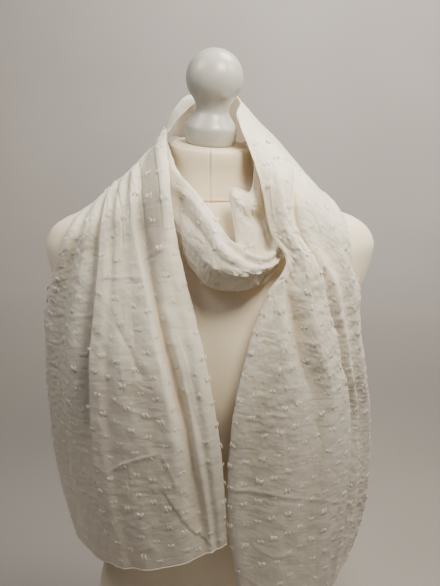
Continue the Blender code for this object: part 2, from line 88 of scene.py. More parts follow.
LEAN_RIGHT = math.radians(4.5)
LEAN_STARTS = 0.655        # height at which the neck begins to lean

NECK_SEAM_HEIGHT = 0.646   # where the neck's cover is sewn to the body's
SEAM_WIDTH = 0.0012        # half the width of a seam's furrow
SEAM_DEPTH = 0.0014
SEAM_LIP = 0.0046          # width of the raised band beside it, over the seam's turned-in cloth
SEAM_PUFF = 0.0008
SEAM_BEGINS = 0.001        # half the height over which the seams down the neck begin
SEAM_TINT = 0.0045         # reach of the warm tint beside the neck's seam: its thread and painted warm shade in its furrow
NECK_SHADE_CHANGE = 0.0008      # height over which the painted shade on the neck's cover fades in above its seam
TOP_INSET = 0.97           # where the neck's flat top begins, as a share of the rim's reach
# Degrees round from a seam to the columns of the cover that are closest to it, then the first
# and the last of the even columns and the step between those
SEAM_COLUMNS = (0, 0.35, 0.7, 1.1, 1.6, 2.3, 3.2, 4.4)
EVEN_COLUMNS = (6, 174, 2)
# Rows of the cover, closest at the neck's seam and at the rim: from and to a height, and how many
COVER_ROWS = (
    (0.0, NECK_SEAM_HEIGHT - 0.006, 120),
    (NECK_SEAM_HEIGHT - 0.0055, NECK_SEAM_HEIGHT + 0.0055, 25),
    (NECK_SEAM_HEIGHT + 0.006, 0.699, 30),
    (0.7, FORM_SECTIONS[-1].height, 12),
)

CAP_FOOT_RADIUS = 0.0275
CAP_FLARE_RADIUS = 0.0305
CAP_FLARE_HEIGHT = 0.017
CAP_THROAT_RADIUS = 0.0195
CAP_THROAT_HEIGHT = 0.039
CAP_KNOB_RADIUS = 0.033
CAP_KNOB_HEIGHT = 0.0745   # height of the knob's centre
CAP_HOLE_RADIUS = 0.0013
CAP_HOLE_DEPTH = 0.004
CAP_HOLE_LIP = 0.0006      # rounding of the hole's edge
CAP_JOIN = math.radians(38)      # below the knob's middle, where the throat's curve begins
CAP_ROWS = (44, 12, 16)    # down the knob, the throat and the cove over the foot
CAP_GAP = 0.0003           # between the neck and the cap's foot
CAP_FACETS = 96            # round the turned cap

# ---------------------------------------------------------------- sizes of the scarf

SHELL_WALL = 0.0006        # thickness of the cloth's thin shell
FORM_CLEARANCE = 0.0013    # how far from the form the cloth's outer surface is pushed
UNDER_CLEARANCE = 0.0005   # and its inner surface
HEM_RADIUS = 0.0009        # of the rolled hems
HEM_SIDES = 6
PLEAT_COUNT = 3            # gathers across the cloth beside and behind the neck
PLEAT_HEIGHT = 0.0004
PLEAT_BLEND = 0.16         # share of a stretch over which the gathers turn into its folds
END_FADE = 0.02            # length of cloth over which creases fade towards the next stretch
HOLLOW_REACH = 0.016       # a hollow is found by the cloth this far to each side of it
HOLLOW_DEPTH = 0.0045      # below the mean of that cloth, where a place is wholly hollow
TRIAL_GRID = (9, 400)      # rows and columns that show how much cloth the folds take up

# A section across the cloth: points on it from the inner to the outer edge, in millimetres
Section = namedtuple("Section", "inner middle outer")
# The same with four points, where the cloth is rounder
RoundSection = namedtuple("RoundSection", "inner upper lower outer")
# A section of the front loop, whose cloth turns over a lip between its two edges
LoopSection = namedtuple("LoopSection", "back lip belly lower")

LEFT_SHOULDER = Section((-57, 35, 723), (-84, 40, 681), (-130, 40, 634))
RIGHT_SHOULDER = RoundSection((38, 39, 752), (71, 42, 721), (106, 42, 683), (135, 42, 634))
LEFT_OF_NECK = LoopSection((-52, 22, 718), (-58, 24, 708), (-63, 26, 694), (-68, 28, 680))
RIGHT_OF_NECK = LoopSection((53, 22, 714), (59, 22, 698), (65, 24, 682), (70, 24, 666))

TAIL_LEFT_SECTIONS = (
    LEFT_SHOULDER,
    Section((-52, 0, 723), (-93, 0, 678), (-157, 0, 624)),
    Section((-50, -41, 713), (-96, -47, 670), (-164, -38, 617)),
    Section((-43, -88, 676), (-98, -84, 648), (-171, -64, 598)),
    Section((-36, -98, 620), (-105, -96, 602), (-187, -48, 558)),
    Section((-23, -113, 556), (-115, -110, 545), (-202, -25, 510)),
    Section((-6, -132, 490), (-122, -122, 480), (-207, -16, 450)),
    Section((6, -139, 420), (-122, -124, 410), (-208, -16, 385)),
    Section((15, -140, 330), (-115, -128, 310), (-203, -18, 295)),
    Section((19, -140, 257), (-98, -132, 219), (-182, -34, 207)),
)
TAIL_RIGHT_SECTIONS = (
    RIGHT_SHOULDER,
    Section((32, 2, 741), (86, 0, 696), (153, 0, 630)),
    Section((35, -26, 728), (92, -28, 688), (157, -20, 626)),
    Section((42, -46, 712), (98, -50, 680), (160, -42, 620)),
    Section((54, -89, 673), (102, -86, 655), (162, -66, 602)),
    Section((65, -104, 621), (111, -100, 610), (166, -68, 572)),
    Section((81, -116, 590), (122, -108, 578), (175, -62, 543)),
    Section((61, -122, 558), (118, -114, 540), (179, -55, 505)),
    Section((42, -130, 505), (112, -124, 480), (192, -40, 440)),
    Section((26, -140, 430), (120, -124, 405), (207, -16, 370)),
    Section((19, -140, 340), (122, -126, 315), (212, -16, 290)),
    Section((21, -140, 260), (118, -128, 235), (206, -16, 215)),
    Section((40, -140, 165), (105, -132, 140), (185, -40, 172)),
)
NAPE_LOWER_SECTIONS = (
    LEFT_SHOULDER,
    Section((-55, 62, 706), (-76, 78, 666), (-100, 88, 622)),
    Section((-34, 70, 692), (-44, 90, 656), (-52, 104, 612)),
    Section((0, 66, 694), (0, 82, 655), (0, 102, 612)),
    Section((32, 58, 700), (38, 70, 664), (46, 84, 628)),
    RIGHT_OF_NECK,
)
NAPE_UPPER_SECTIONS = (
    LEFT_OF_NECK,
    Section((-36, 44, 737), (-45, 51, 743), (-49, 57, 712)),
    Section((-19, 61, 752), (-27, 74, 757), (-34, 92, 708)),
    Section((4, 70, 760), (5, 90, 742), (6, 110, 688)),
    Section((24, 62, 763), (44, 86, 715), (66, 100, 662)),
    RIGHT_SHOULDER,
)
LOOP_SECTIONS = (
    RIGHT_OF_NECK,
    LoopSection((48, -33, 709), (59, -36, 695), (68, -38, 680), (75, -40, 665)),
    LoopSection((50, -56, 684), (67, -71, 648), (75, -78, 623), (79, -81, 600)),
    LoopSection((44, -76, 659), (72, -98, 600), (72, -104, 586), (66, -98, 568)),
    LoopSection((22, -83, 654), (45, -115, 597), (38, -136, 580), (34, -112, 557)),
    LoopSection((30, -84, 600), (25, -114, 609), (12, -136, 588), (6, -110, 558)),
    LoopSection((-3, -73, 624), (3, -99, 636), (-10, -118, 612), (-20, -98, 577)),
    LoopSection((-24, -66, 654), (-21, -82, 665), (-34, -85, 642), (-44, -82, 606)),
    LoopSection((-42, -47, 695), (-47, -58, 690), (-56, -64, 668), (-62, -64, 640)),
    LoopSection((-51, -18, 712), (-57, -20, 700), (-63, -22, 687), (-69, -24, 674)),
    LEFT_OF_NECK,
)

# A fold line: where it is in the cloth, then its place across the stretch and its height in
# millimetres at each of the stretch's levels
Fold = namedtuple("Fold", "name cloth places heights")

LEFT_LEVELS = (0.20, 0.45, 0.70, 1.00)     # shoulder, bust, waist, hem
TAIL_LEFT_FOLDS = (
    Fold("edge_under", 0.00, (0.05, 0.05, 0.05, 0.05), (-6, -7, -7, -5)),
    Fold("edge", 0.04, (0.00, 0.00, 0.00, 0.00), (-1, -1, -1, -1)),
    Fold("border_bead", 0.08, (0.09, 0.05, 0.04, 0.03), (3, 3, 3, 2)),
    Fold("border_slope", 0.12, (0.16, 0.09, 0.065, 0.05), (1, 1, 0, 0)),
    Fold("border_swell", 0.17, (0.25, 0.135, 0.09, 0.07), (-1, 1, 2, 2)),
    Fold("groove_long", 0.23, (0.34, 0.19, 0.12, 0.10), (-2, -7, -6, -2)),
    Fold("ridge_long", 0.29, (0.41, 0.235, 0.18, 0.18), (2, 4, 5, 3)),
    Fold("panel_start", 0.35, (0.47, 0.33, 0.28, 0.27), (-1, 1, 1, 1)),
    Fold("panel_crown", 0.41, (0.53, 0.41, 0.38, 0.38), (1, 2, 2, 2)),
    Fold("panel_dip", 0.47, (0.58, 0.46, 0.46, 0.47), (-1, 1, -1, -1)),
    Fold("panel_swell", 0.53, (0.63, 0.51, 0.52, 0.53), (1, 4, 3, 2)),
    Fold("panel_lip", 0.57, (0.655, 0.555, 0.565, 0.59), (2, 4, 3, 2)),
    Fold("panel_under", 0.61, (0.675, 0.53, 0.55, 0.60), (0, -4, -2, 0)),
    Fold("side_groove", 0.65, (0.70, 0.58, 0.595, 0.64), (-3, -8, -5, 0)),
    Fold("side_swell", 0.72, (0.78, 0.71, 0.72, 0.73), (1, 3, 3, 2)),
    Fold("side_dip", 0.79, (0.86, 0.82, 0.82, 0.82), (-1, -2, -2, -1)),
    Fold("outer_swell", 0.87, (0.92, 0.93, 0.93, 0.92), (2, 4, 3, 2)),
    Fold("outer_edge", 0.94, (0.97, 1.00, 1.00, 1.00), (1, -1, -1, -1)),
    Fold("outer_under", 1.00, (0.98, 0.95, 0.95, 0.96), (-3, -9, -9, -6)),
)
# before the shoulder, shoulder, above and below the loop's end, upper bust, bust, waist, hem
RIGHT_LEVELS = (0.16, 0.26, 0.31, 0.37, 0.46, 0.55, 0.75, 1.00)
TAIL_RIGHT_FOLDS = (
    Fold("edge_under", 0.00, (0.05, 0.05, 0.05, 0.05, 0.05, 0.05, 0.05, 0.05),
         (-6, -6, -7, -8, -8, -8, -7, -5)),
    Fold("edge", 0.04, (0.00, 0.00, 0.00, 0.00, 0.00, 0.00, 0.00, 0.00),
         (-2, -2, -2, -1, -1, -1, -1, -1)),
    Fold("edge_bead", 0.08, (0.04, 0.035, 0.035, 0.045, 0.05, 0.05, 0.04, 0.04),
         (-1, -1, 0, 2, 3, 3, 3, 2)),
    Fold("panel_dip", 0.14, (0.08, 0.06, 0.06, 0.075, 0.14, 0.15, 0.12, 0.12),
         (1, 0, 0, 1, -1, -2, -1, -1)),
    Fold("panel_swell", 0.21, (0.12, 0.09, 0.08, 0.105, 0.25, 0.30, 0.25, 0.25),
         (3, 2, 0, 0, 2, 2, 3, 2)),
    Fold("groove_front", 0.29, (0.17, 0.125, 0.11, 0.150, 0.375, 0.48, 0.46, 0.44),
         (5, 4, 1, -3, -6, -3, 0, 0)),
    Fold("tube_crown", 0.37, (0.28, 0.21, 0.25, 0.34, 0.53, 0.62, 0.59, 0.59),
         (8, 8, 8, 7, 9, 8, 6, 5)),
    Fold("tube_lip", 0.44, (0.41, 0.31, 0.36, 0.52, 0.70, 0.745, 0.72, 0.735),
         (4, 4, 5, 5, 6, 6, 6, 4)),
    Fold("tube_under", 0.48, (0.435, 0.335, 0.375, 0.53, 0.68, 0.72, 0.695, 0.71),
         (0, -1, -1, -1, -4, -4, -4, -3)),
    Fold("tube_groove", 0.52, (0.465, 0.36, 0.405, 0.57, 0.74, 0.78, 0.76, 0.765),
         (-3, -4, -5, -6, -9, -9, -8, -6)),
    Fold("side_swell", 0.60, (0.58, 0.46, 0.52, 0.68, 0.81, 0.835, 0.82, 0.82),
         (2, 1, 1, 3, 3, 3, 3, 2)),
    Fold("side_dip", 0.68, (0.72, 0.64, 0.70, 0.80, 0.875, 0.885, 0.88, 0.88),
         (2, 1, -1, -2, -2, -3, -3, -2)),
    Fold("outer_swell", 0.78, (0.86, 0.84, 0.87, 0.91, 0.945, 0.945, 0.945, 0.945),
         (2, 2, 3, 3, 3, 3, 3, 2)),
    Fold("outer_edge", 0.89, (0.96, 0.97, 0.985, 1.00, 1.00, 1.00, 1.00, 1.00),
         (1, 1, 0, -1, -1, -1, -1, -1)),
    Fold("outer_under", 1.00, (0.98, 0.98, 0.965, 0.95, 0.95, 0.95, 0.95, 0.96),
         (-3, -3, -6, -9, -9, -9, -9, -6)),
)
# behind the right tail, right end, turn of the lip, middle, left end
LOOP_LEVELS = (0.25, 0.38, 0.47, 0.60, 0.80)
LOOP_FOLDS = (
    Fold("back_edge", 0.00, (0.00, 0.00, 0.00, 0.00, 0.00), (0, 0, 0, 0, 0)),
    Fold("back_band", 0.07, (0.06, 0.055, 0.06, 0.07, 0.07), (0, 2, 2, 0, 0)),
    Fold("back_dip", 0.18, (0.17, 0.12, 0.15, 0.18, 0.18), (-5, -4, -3, -2, -1)),
    Fold("lip_under", 0.29, (0.27, 0.28, 0.305, 0.29, 0.28), (-1, -6, -7, -3, -1)),
    Fold("lip", 0.36, (0.33, 0.335, 0.36, 0.335, 0.33), (2, 4, 4, 2, 1)),
    Fold("lip_dip", 0.43, (0.40, 0.40, 0.415, 0.40, 0.40), (0, 0, -1, 2, 1)),
    Fold("roll", 0.50, (0.47, 0.50, 0.50, 0.46, 0.47), (-1, 4, 3, 3, 1)),
    Fold("hollow", 0.64, (0.64, 0.60, 0.60, 0.62, 0.64), (2, -2, -1, -2, 0)),
    Fold("low_swell", 0.80, (0.80, 0.80, 0.80, 0.80, 0.80), (-3, -3, -2, 1, 0)),
    Fold("lower_edge", 0.91, (0.93, 0.98, 1.00, 1.00, 0.93), (0, 0, 0, 0, 0)),
    Fold("lower_under", 1.00, (1.00, 0.96, 0.95, 0.95, 1.00), (-1, -4, -6, -6, -1)),
)

# A crease in the list: its line as (along, across) places, its height in millimetres (below
# zero is a trough) and half its width in millimetres. A one-sided crease is the edge of a
# layer that lies on the cloth: it falls away on one side of its line only.
Crease = namedtuple("Crease", "line height width one_sided", defaults=(False,))
CREASE_POINT = 1.3         # exponent of a crease's bell: 1 is a sharp point, 2 is round
CREASE_TAPER = 0.15        # share of its length over which a crease fades at each end
CREASE_END = 0.25          # share of its height that is left at its two ends
CREASES = {
    "tail_left": (
        # the shoulder, the shaded panel beside the neck, and the grooves that fan out
        Crease(((0.11, 0.14), (0.17, 0.125), (0.25, 0.11), (0.33, 0.10)), 0.8, 1),
        Crease(((0.355, 0.275), (0.350, 0.19), (0.346, 0.10)), 1, 1),
        Crease(((0.362, 0.27), (0.357, 0.19), (0.353, 0.11)), -0.6, 1.2),
        Crease(((0.10, 0.43), (0.16, 0.41), (0.21, 0.37), (0.26, 0.355)), 1.2, 1.6),
        Crease(((0.07, 0.385), (0.135, 0.37), (0.20, 0.325), (0.245, 0.315)), -2.2, 1.8),
        Crease(((0.225, 0.32), (0.278, 0.28), (0.33, 0.255)), -1.3, 1.5),
        Crease(((0.09, 0.61), (0.13, 0.60), (0.18, 0.555), (0.25, 0.49)), -1.7, 1.6),
        Crease(((0.24, 0.49), (0.28, 0.46), (0.33, 0.43)), -0.9, 1.4),
        Crease(((0.18, 0.47), (0.215, 0.43), (0.25, 0.415), (0.29, 0.40)), -1.1, 1.3),
        Crease(((0.15, 0.66), (0.20, 0.62), (0.26, 0.60)), 0.65, 1.2),
        Crease(((0.19, 0.80), (0.24, 0.76), (0.30, 0.77), (0.36, 0.75)), -0.98, 2.2),
        Crease(((0.26, 0.93), (0.29, 0.86), (0.30, 0.79)), 0.6, 1.2),
        # creases left from packing, across the panel and down it
        Crease(((0.380, 0.50), (0.384, 0.40), (0.392, 0.25)), 0.9, 1.1),
        Crease(((0.390, 0.50), (0.394, 0.40), (0.402, 0.27)), -0.45, 1.3),
        Crease(((0.425, 0.89), (0.446, 0.82), (0.453, 0.70), (0.450, 0.58)), 0.8, 1.3),
        Crease(((0.470, 0.42), (0.520, 0.34), (0.585, 0.28)), -1.8, 3.6),
        Crease(((0.43, 0.37), (0.47, 0.36), (0.53, 0.39), (0.60, 0.37)), 0.5, 1.4),
        Crease(((0.50, 0.96), (0.51, 0.85), (0.50, 0.74), (0.515, 0.66)), 0.55, 1.3),
        Crease(((0.57, 0.93), (0.575, 0.82), (0.595, 0.70)), -0.7, 2),
        Crease(((0.45, 0.60), (0.53, 0.60), (0.62, 0.605), (0.72, 0.615)), -1.5, 2),
        Crease(((0.62, 0.44), (0.64, 0.36), (0.66, 0.27), (0.65, 0.17)), 0.45, 1.3),
        Crease(((0.47, 0.12), (0.55, 0.085), (0.64, 0.075), (0.72, 0.055)), 0.6, 1),
        Crease(((0.782, 0.50), (0.757, 0.40), (0.735, 0.23)), 1.2, 1.2),
        Crease(((0.735, 0.23), (0.785, 0.195), (0.82, 0.18)), 0.9, 1.2),
        Crease(((0.757, 0.395), (0.820, 0.395), (0.900, 0.42)), -0.7, 1.2),
        Crease(((0.74, 0.74), (0.755, 0.63), (0.78, 0.52)), 0.7, 2),
        Crease(((0.84, 0.95), (0.865, 0.86), (0.86, 0.75), (0.875, 0.66)), 0.6, 1.4),
        Crease(((0.90, 0.60), (0.885, 0.48), (0.905, 0.36), (0.89, 0.26)), 0.45, 1.4),
        Crease(((0.83, 0.16), (0.88, 0.12), (0.94, 0.10)), -0.7, 2.2),
        Crease(((0.590, 0.30), (0.598, 0.265), (0.605, 0.23)), -0.8, 1.2),
        Crease(((0.45, 0.33), (0.52, 0.31), (0.58, 0.33)), -0.7, 2.4),
        Crease(((0.20, 0.14), (0.26, 0.125), (0.31, 0.12)), -0.9, 1.0),
        # the edge of a layer that lies on the cloth
        Crease(((0.805, 0.255), (0.855, 0.21), (0.922, 0.15), (0.96, 0.095), (0.998, 0.055)),
               -1.2, 6.0, one_sided=True),
    ),
    "tail_right": (
        # soft folds on the shoulder, the rumpled roll, and the packing creases
        Crease(((0.17, 0.30), (0.233, 0.265), (0.275, 0.26), (0.335, 0.285)), -0.91, 2.2),
        Crease(((0.20, 0.43), (0.26, 0.365), (0.31, 0.43), (0.36, 0.56)), -1.7, 1.5),
        Crease(((0.247, 0.365), (0.275, 0.335), (0.290, 0.33)), 0.9, 1.1),
        Crease(((0.282, 0.37), (0.297, 0.30), (0.310, 0.25)), -1.0, 1.2),
        Crease(((0.262, 0.27), (0.285, 0.20), (0.308, 0.17)), 1.0, 1.2),
        Crease(((0.295, 0.04), (0.315, 0.10), (0.328, 0.18)), -1.2, 1.4),
        Crease(((0.322, 0.03), (0.336, 0.09), (0.350, 0.15)), 1.1, 1.2),
        Crease(((0.350, 0.03), (0.361, 0.10), (0.374, 0.19), (0.380, 0.27)), -1.4, 1.5),
        Crease(((0.372, 0.06), (0.385, 0.13), (0.410, 0.19)), 1.0, 1.3),
        Crease(((0.400, 0.04), (0.415, 0.10), (0.440, 0.13)), -0.9, 1.4),
        Crease(((0.310, 0.39), (0.322, 0.33), (0.345, 0.30)), 0.9, 1.1),
        Crease(((0.333, 0.43), (0.335, 0.36), (0.345, 0.27)), -0.9, 1.2),
        Crease(((0.352, 0.50), (0.365, 0.42), (0.37, 0.33)), 0.9, 1.1),
        Crease(((0.335, 0.25), (0.365, 0.275), (0.395, 0.29)), 0.8, 1.2),
        Crease(((0.323, 0.59), (0.335, 0.52), (0.345, 0.48)), 0.8, 1.1),
        Crease(((0.18, 0.225), (0.205, 0.275), (0.24, 0.245)), -0.9, 1.6),
        Crease(((0.118, 0.205), (0.15, 0.25), (0.18, 0.30)), 0.8, 1.4),
        Crease(((0.088, 0.175), (0.12, 0.15), (0.147, 0.17)), -0.7, 1.5),
        Crease(((0.21, 0.12), (0.24, 0.10), (0.27, 0.09)), 0.8, 1.3),
        Crease(((0.263, 0.610), (0.31, 0.57), (0.372, 0.550)), -1.05, 2),
        Crease(((0.18, 0.52), (0.22, 0.56), (0.27, 0.66)), 0.77, 2),
        Crease(((0.27, 0.86), (0.30, 0.78), (0.31, 0.70)), 0.55, 1.2),
        Crease(((0.34, 0.93), (0.355, 0.86), (0.35, 0.80)), 0.6, 1.2),
        Crease(((0.31, 0.50), (0.345, 0.445), (0.37, 0.40)), 0.65, 1.2),
        Crease(((0.34, 0.56), (0.38, 0.48), (0.40, 0.45)), -0.7, 1.3),
        Crease(((0.41, 0.60), (0.44, 0.53), (0.48, 0.49)), 0.65, 1.3),
        Crease(((0.46, 0.68), (0.49, 0.60), (0.53, 0.55)), -0.6, 1.4),
        Crease(((0.487, 0.03), (0.476, 0.12), (0.474, 0.20)), -0.65, 1.1),
        Crease(((0.474, 0.19), (0.466, 0.27), (0.476, 0.345)), 0.6, 1.1),
        Crease(((0.470, 0.24), (0.512, 0.255), (0.557, 0.200), (0.60, 0.19)), -0.6, 1.2),
        Crease(((0.42, 0.30), (0.45, 0.345), (0.48, 0.40), (0.515, 0.455), (0.55, 0.485)), -1.8, 2.2),
        Crease(((0.57, 0.34), (0.62, 0.30), (0.68, 0.31)), -1.1, 3.2),
        Crease(((0.758, 0.01), (0.748, 0.215), (0.755, 0.415)), 1.1, 1.2),
        Crease(((0.766, 0.02), (0.757, 0.215), (0.764, 0.40)), -0.6, 1.3),
        Crease(((0.757, 0.43), (0.765, 0.57), (0.777, 0.70)), 0.7, 1.4),
        Crease(((0.60, 0.50), (0.66, 0.53), (0.73, 0.50)), -1.2, 3),
        Crease(((0.82, 0.62), (0.88, 0.56), (0.94, 0.57)), 0.7, 2.2),
        Crease(((0.86, 0.12), (0.875, 0.26), (0.865, 0.40)), 0.63, 2),
        Crease(((0.56, 0.97), (0.575, 0.89), (0.57, 0.80)), 0.6, 1.3),
        Crease(((0.66, 0.96), (0.655, 0.88), (0.67, 0.80)), -0.55, 1.4),
        Crease(((0.80, 0.95), (0.83, 0.87), (0.845, 0.79)), 0.55, 1.4),
    ),
    "loop_front": (
        # the tube and the turned-in corner at the right, the roll of its lip, the dents beneath
        Crease(((0.36, 0.035), (0.40, 0.03), (0.44, 0.03)), 1.0, 1.8),
        Crease(((0.445, 0.105), (0.415, 0.105), (0.37, 0.10)), -4.4, 2.0),
        Crease(((0.450, 0.02), (0.417, 0.11), (0.40, 0.15)), 3.2, 1.6),
        Crease(((0.453, 0.13), (0.43, 0.15), (0.41, 0.205)), 1.2, 1.4),
        Crease(((0.420, 0.165), (0.440, 0.29)), 2.3, 1.1),
        Crease(((0.46, 0.20), (0.465, 0.26), (0.45, 0.30)), -0.9, 1.6),
        Crease(((0.41, 0.205), (0.403, 0.25), (0.393, 0.32)), -1.9, 1.6),
        Crease(((0.385, 0.13), (0.385, 0.20), (0.39, 0.28)), -2.2, 1.6),
        Crease(((0.345, 0.33), (0.40, 0.325), (0.44, 0.33), (0.48, 0.39)), 1.5, 1.3),
        Crease(((0.46, 0.46), (0.443, 0.60), (0.41, 0.66)), 1.8, 1.4),
        Crease(((0.445, 0.50), (0.41, 0.48), (0.37, 0.50)), -2.2, 4.0),
        Crease(((0.46, 0.60), (0.41, 0.60), (0.37, 0.62)), 2.0, 1.8),
        Crease(((0.445, 0.41), (0.447, 0.49)), 1.0, 1.3),
        Crease(((0.47, 0.58), (0.54, 0.57), (0.61, 0.60), (0.68, 0.66)), -1.2, 3.2),
        Crease(((0.50, 0.70), (0.54, 0.72), (0.57, 0.78)), 0.8, 1.5),
        Crease(((0.58, 0.66), (0.62, 0.72), (0.64, 0.80)), -0.9, 1.6),
        Crease(((0.62, 0.93), (0.57, 0.90), (0.53, 0.93)), 1.0, 1.3),
        Crease(((0.595, 0.59), (0.585, 0.62)), -1.6, 2.6),
        Crease(((0.70, 0.45), (0.76, 0.50), (0.82, 0.49)), -0.9, 3.0),
        Crease(((0.66, 0.80), (0.73, 0.78), (0.80, 0.82)), 0.8, 1.5),
        Crease(((0.20, 0.55), (0.26, 0.52), (0.32, 0.58)), 0.8, 2.0),
    ),
    "nape_upper": (
        Crease(((0.30, 0.25), (0.42, 0.32), (0.55, 0.28), (0.66, 0.36)), -1.12, 2.2),
        Crease(((0.45, 0.52), (0.56, 0.60), (0.70, 0.57)), 0.75, 1.4),
        Crease(((0.35, 0.80), (0.50, 0.74), (0.62, 0.82), (0.75, 0.78)), -1.6, 2.8),
        Crease(((0.40, 0.42), (0.44, 0.50), (0.43, 0.62)), 0.55, 1.2),
    ),
    "nape_lower": (
        Crease(((0.28, 0.35), (0.42, 0.30), (0.58, 0.36)), -1.12, 2.2),
        Crease(((0.35, 0.62), (0.50, 0.66), (0.66, 0.60)), 0.98, 2),
        Crease(((0.30, 0.86), (0.45, 0.82), (0.60, 0.88)), -0.91, 2.2),
    ),
}

# A patch of cloth: its middle along and across, half its length along and half its width
# across in millimetres, and how strongly it applies
Patch = namedtuple("Patch", "along across reach_along reach_across strength")
RUMPLE_EDGE = 1            # exponent of a patch's border: 1 is soft, more is crisper
# Rumpled patches, where the crinkle is stronger
RUMPLES = {
    "tail_left": (
        Patch(0.27, 0.85, 45, 30, 0.5),
        Patch(0.45, 0.86, 60, 34, 1.1),
        Patch(0.62, 0.84, 60, 34, 1.8),
        Patch(0.86, 0.62, 55, 50, 0.7),
        Patch(0.22, 0.55, 40, 30, 0.8),
    ),
    "tail_right": (
        Patch(0.33, 0.46, 45, 18, 1.6),
        Patch(0.44, 0.62, 50, 18, 1.5),
        Patch(0.33, 0.86, 50, 24, 1.5),
        Patch(0.55, 0.90, 80, 24, 1.8),
        Patch(0.84, 0.80, 70, 34, 1.0),
        Patch(0.55, 0.20, 90, 40, 1.1),
        Patch(0.20, 0.30, 50, 26, 0.9),
        Patch(0.29, 0.25, 45, 22, 1.5),
        Patch(0.34, 0.12, 36, 16, 1.5),
        Patch(0.86, 0.95, 60, 14, 2.0),
    ),
    "loop_front": (
        Patch(0.55, 0.75, 45, 26, 1.3),
        Patch(0.42, 0.48, 26, 22, 1.3),
        Patch(0.43, 0.20, 22, 14, 2.0),
    ),
    "nape_upper": (
        Patch(0.50, 0.60, 50, 30, 0.9),
    ),
    "nape_lower": (
        Patch(0.50, 0.60, 50, 30, 0.9),
    ),
}
PAINTED_SHADE_EDGE = 2
# Painted shade: patches where the cloth's colour is greyed, for one layer with nothing behind it
PAINTED_SHADE_PATCHES = {
    "tail_left": (
        Patch(0.255, 0.22, 62, 23, 1.0),
        Patch(0.37, 0.18, 40, 14, 0.6),
        Patch(0.58, 0.61, 90, 7, 0.4),
        Patch(0.60, 0.86, 120, 46, 0.5),
        Patch(0.95, 0.45, 150, 140, 0.4),
    ),
    "tail_right": (
        Patch(0.85, 0.45, 210, 130, 0.5),
        Patch(0.60, 0.93, 90, 22, 0.4),
        Patch(0.56, 0.20, 70, 40, 0.3),
    ),
    "loop_front": (
        Patch(0.53, 0.66, 55, 20, 0.45),
    ),
}

# The crinkle's fields of waves: their height, and the usual distance between their crests along
# and across the cloth
Waves = namedtuple("Waves", "height spacing")
SWELLS = Waves(0.0006, (0.150, 0.046))
DENTS = Waves(0.00026, (0.028, 0.022))
CROSS_WRINKLES = Waves(0.00012, (0.0065, 0.034))
FINE_WRINKLES = Waves(0.00017, (0.0095, 0.0100))
HEM_RIPPLE = Waves(0.00030, (0.010, 0.040))
HEM_RIPPLE_REACH = 0.005   # from an edge into the cloth
# Its nets of thin lines run where a field of waves is zero: the softer, the wider they are
Net = namedtuple("Net", "height spacing softness")
SOFT_CREASES = Net(-0.00030, (0.030, 0.022), 0.10)
THIN_RIDGES = Net(0.00034, (0.044, 0.036), 0.05)
NET_STRENGTH = Waves(0.6, (0.12, 0.09))      # how it wavers about NET_MIDDLE, within NET_LIMITS
NET_MIDDLE = 0.5
NET_LIMITS = (0.1, 1.0)
# The share of them that shows where the cloth isn't rumpled
CALM_CROSS = 0.7
CALM_NETS = 0.55
CALM_FINE = 0.45
HEM_UNEVENNESS = Waves(0.12, (0.006, 1.0))   # of a rolled hem's radius, as a share of it

# The woven-in spots: two clumps of cut yarn side by side, on a slanting lattice of the cloth
SPOT_STEP = (0.0175, 0.0175)     # along and across, to the next spot on a slanting row
SPOT_ROW = 0.026                 # along, from one slanting row to the next
SPOT_EDGE = 0.006                # no spot is nearer to an edge of the cloth
CLUMP_GAP = 0.0042               # between the middles of a spot's two clumps
CLUMP_ENDS = 4                   # short ends of yarn in a clump
CLUMP_WIDTH = 0.0020             # between the middles of its first and last end
END_SIZE = (0.0068, 0.0014, 0.0005)      # length, width and height of an end of yarn
END_SIDES = 6
END_RINGS = ((1.0, -0.1), (0.72, 0.65))      # reach and height of the rings round one
END_FOOT = -0.3                  # height of its lowest point, sunk in the cloth
# How much they vary at random: about their places, in size and in direction
SPOT_SHIFT = 0.0008
SPOT_FULLNESS = (0.65, 1.15)
END_FULLNESS = (0.7, 1.2)
END_ROUGHNESS = 0.08
END_TURN = 0.22                  # radians
END_SHIFT = (0.0006, 0.0003)     # along and across

# Grid of each stretch: rows along and columns across, both odd
TAIL_GRID = (331, 231)
LOOP_GRID = (301, 191)
NAPE_GRID = (121, 91)

# Seeds of the first stretch's random draws, and the step to the next stretch's
CLOTH_SEED = 0
SPOT_SEED = 100
HEM_SEED = 200
SEED_STEP = 10


# ---------------------------------------------------------------- curves and fields


def hermite(at, knots, values, tangents):
    """Cubic pieces through the values with the given tangents."""
    piece = np.clip(np.searchsorted(knots, at, side="right") - 1, 0, len(knots) - 2)
    shape = at.shape + (1,) * (values.ndim - 1)
    width = np.diff(knots)[piece].reshape(shape)
    t = (at - knots[piece]).reshape(shape) / width
    return (values[piece] * (1 + 2 * t) * (1 - t) ** 2 + tangents[piece] * width * t * (1 - t) ** 2
            + values[piece + 1] * t ** 2 * (3 - 2 * t) + tangents[piece + 1] * width * t ** 2 * (t - 1))


def smooth_curve(at, knots, values):
    """Values at `at` on a smooth curve through (knots, values); rows of values may be arrays."""
    at, knots, values = (np.asarray(item, float) for item in (at, knots, values))
    widths = np.diff(knots).reshape((-1,) + (1,) * (values.ndim - 1))
    slopes = np.diff(values, axis=0) / widths
    tangents = np.empty_like(values)
    tangents[1:-1] = (slopes[:-1] * widths[1:] + slopes[1:] * widths[:-1]) / (widths[1:] + widths[:-1])
    tangents[0] = 2 * slopes[0] - tangents[1]
    tangents[-1] = 2 * slopes[-1] - tangents[-2]
    return hermite(at, knots, values, tangents)


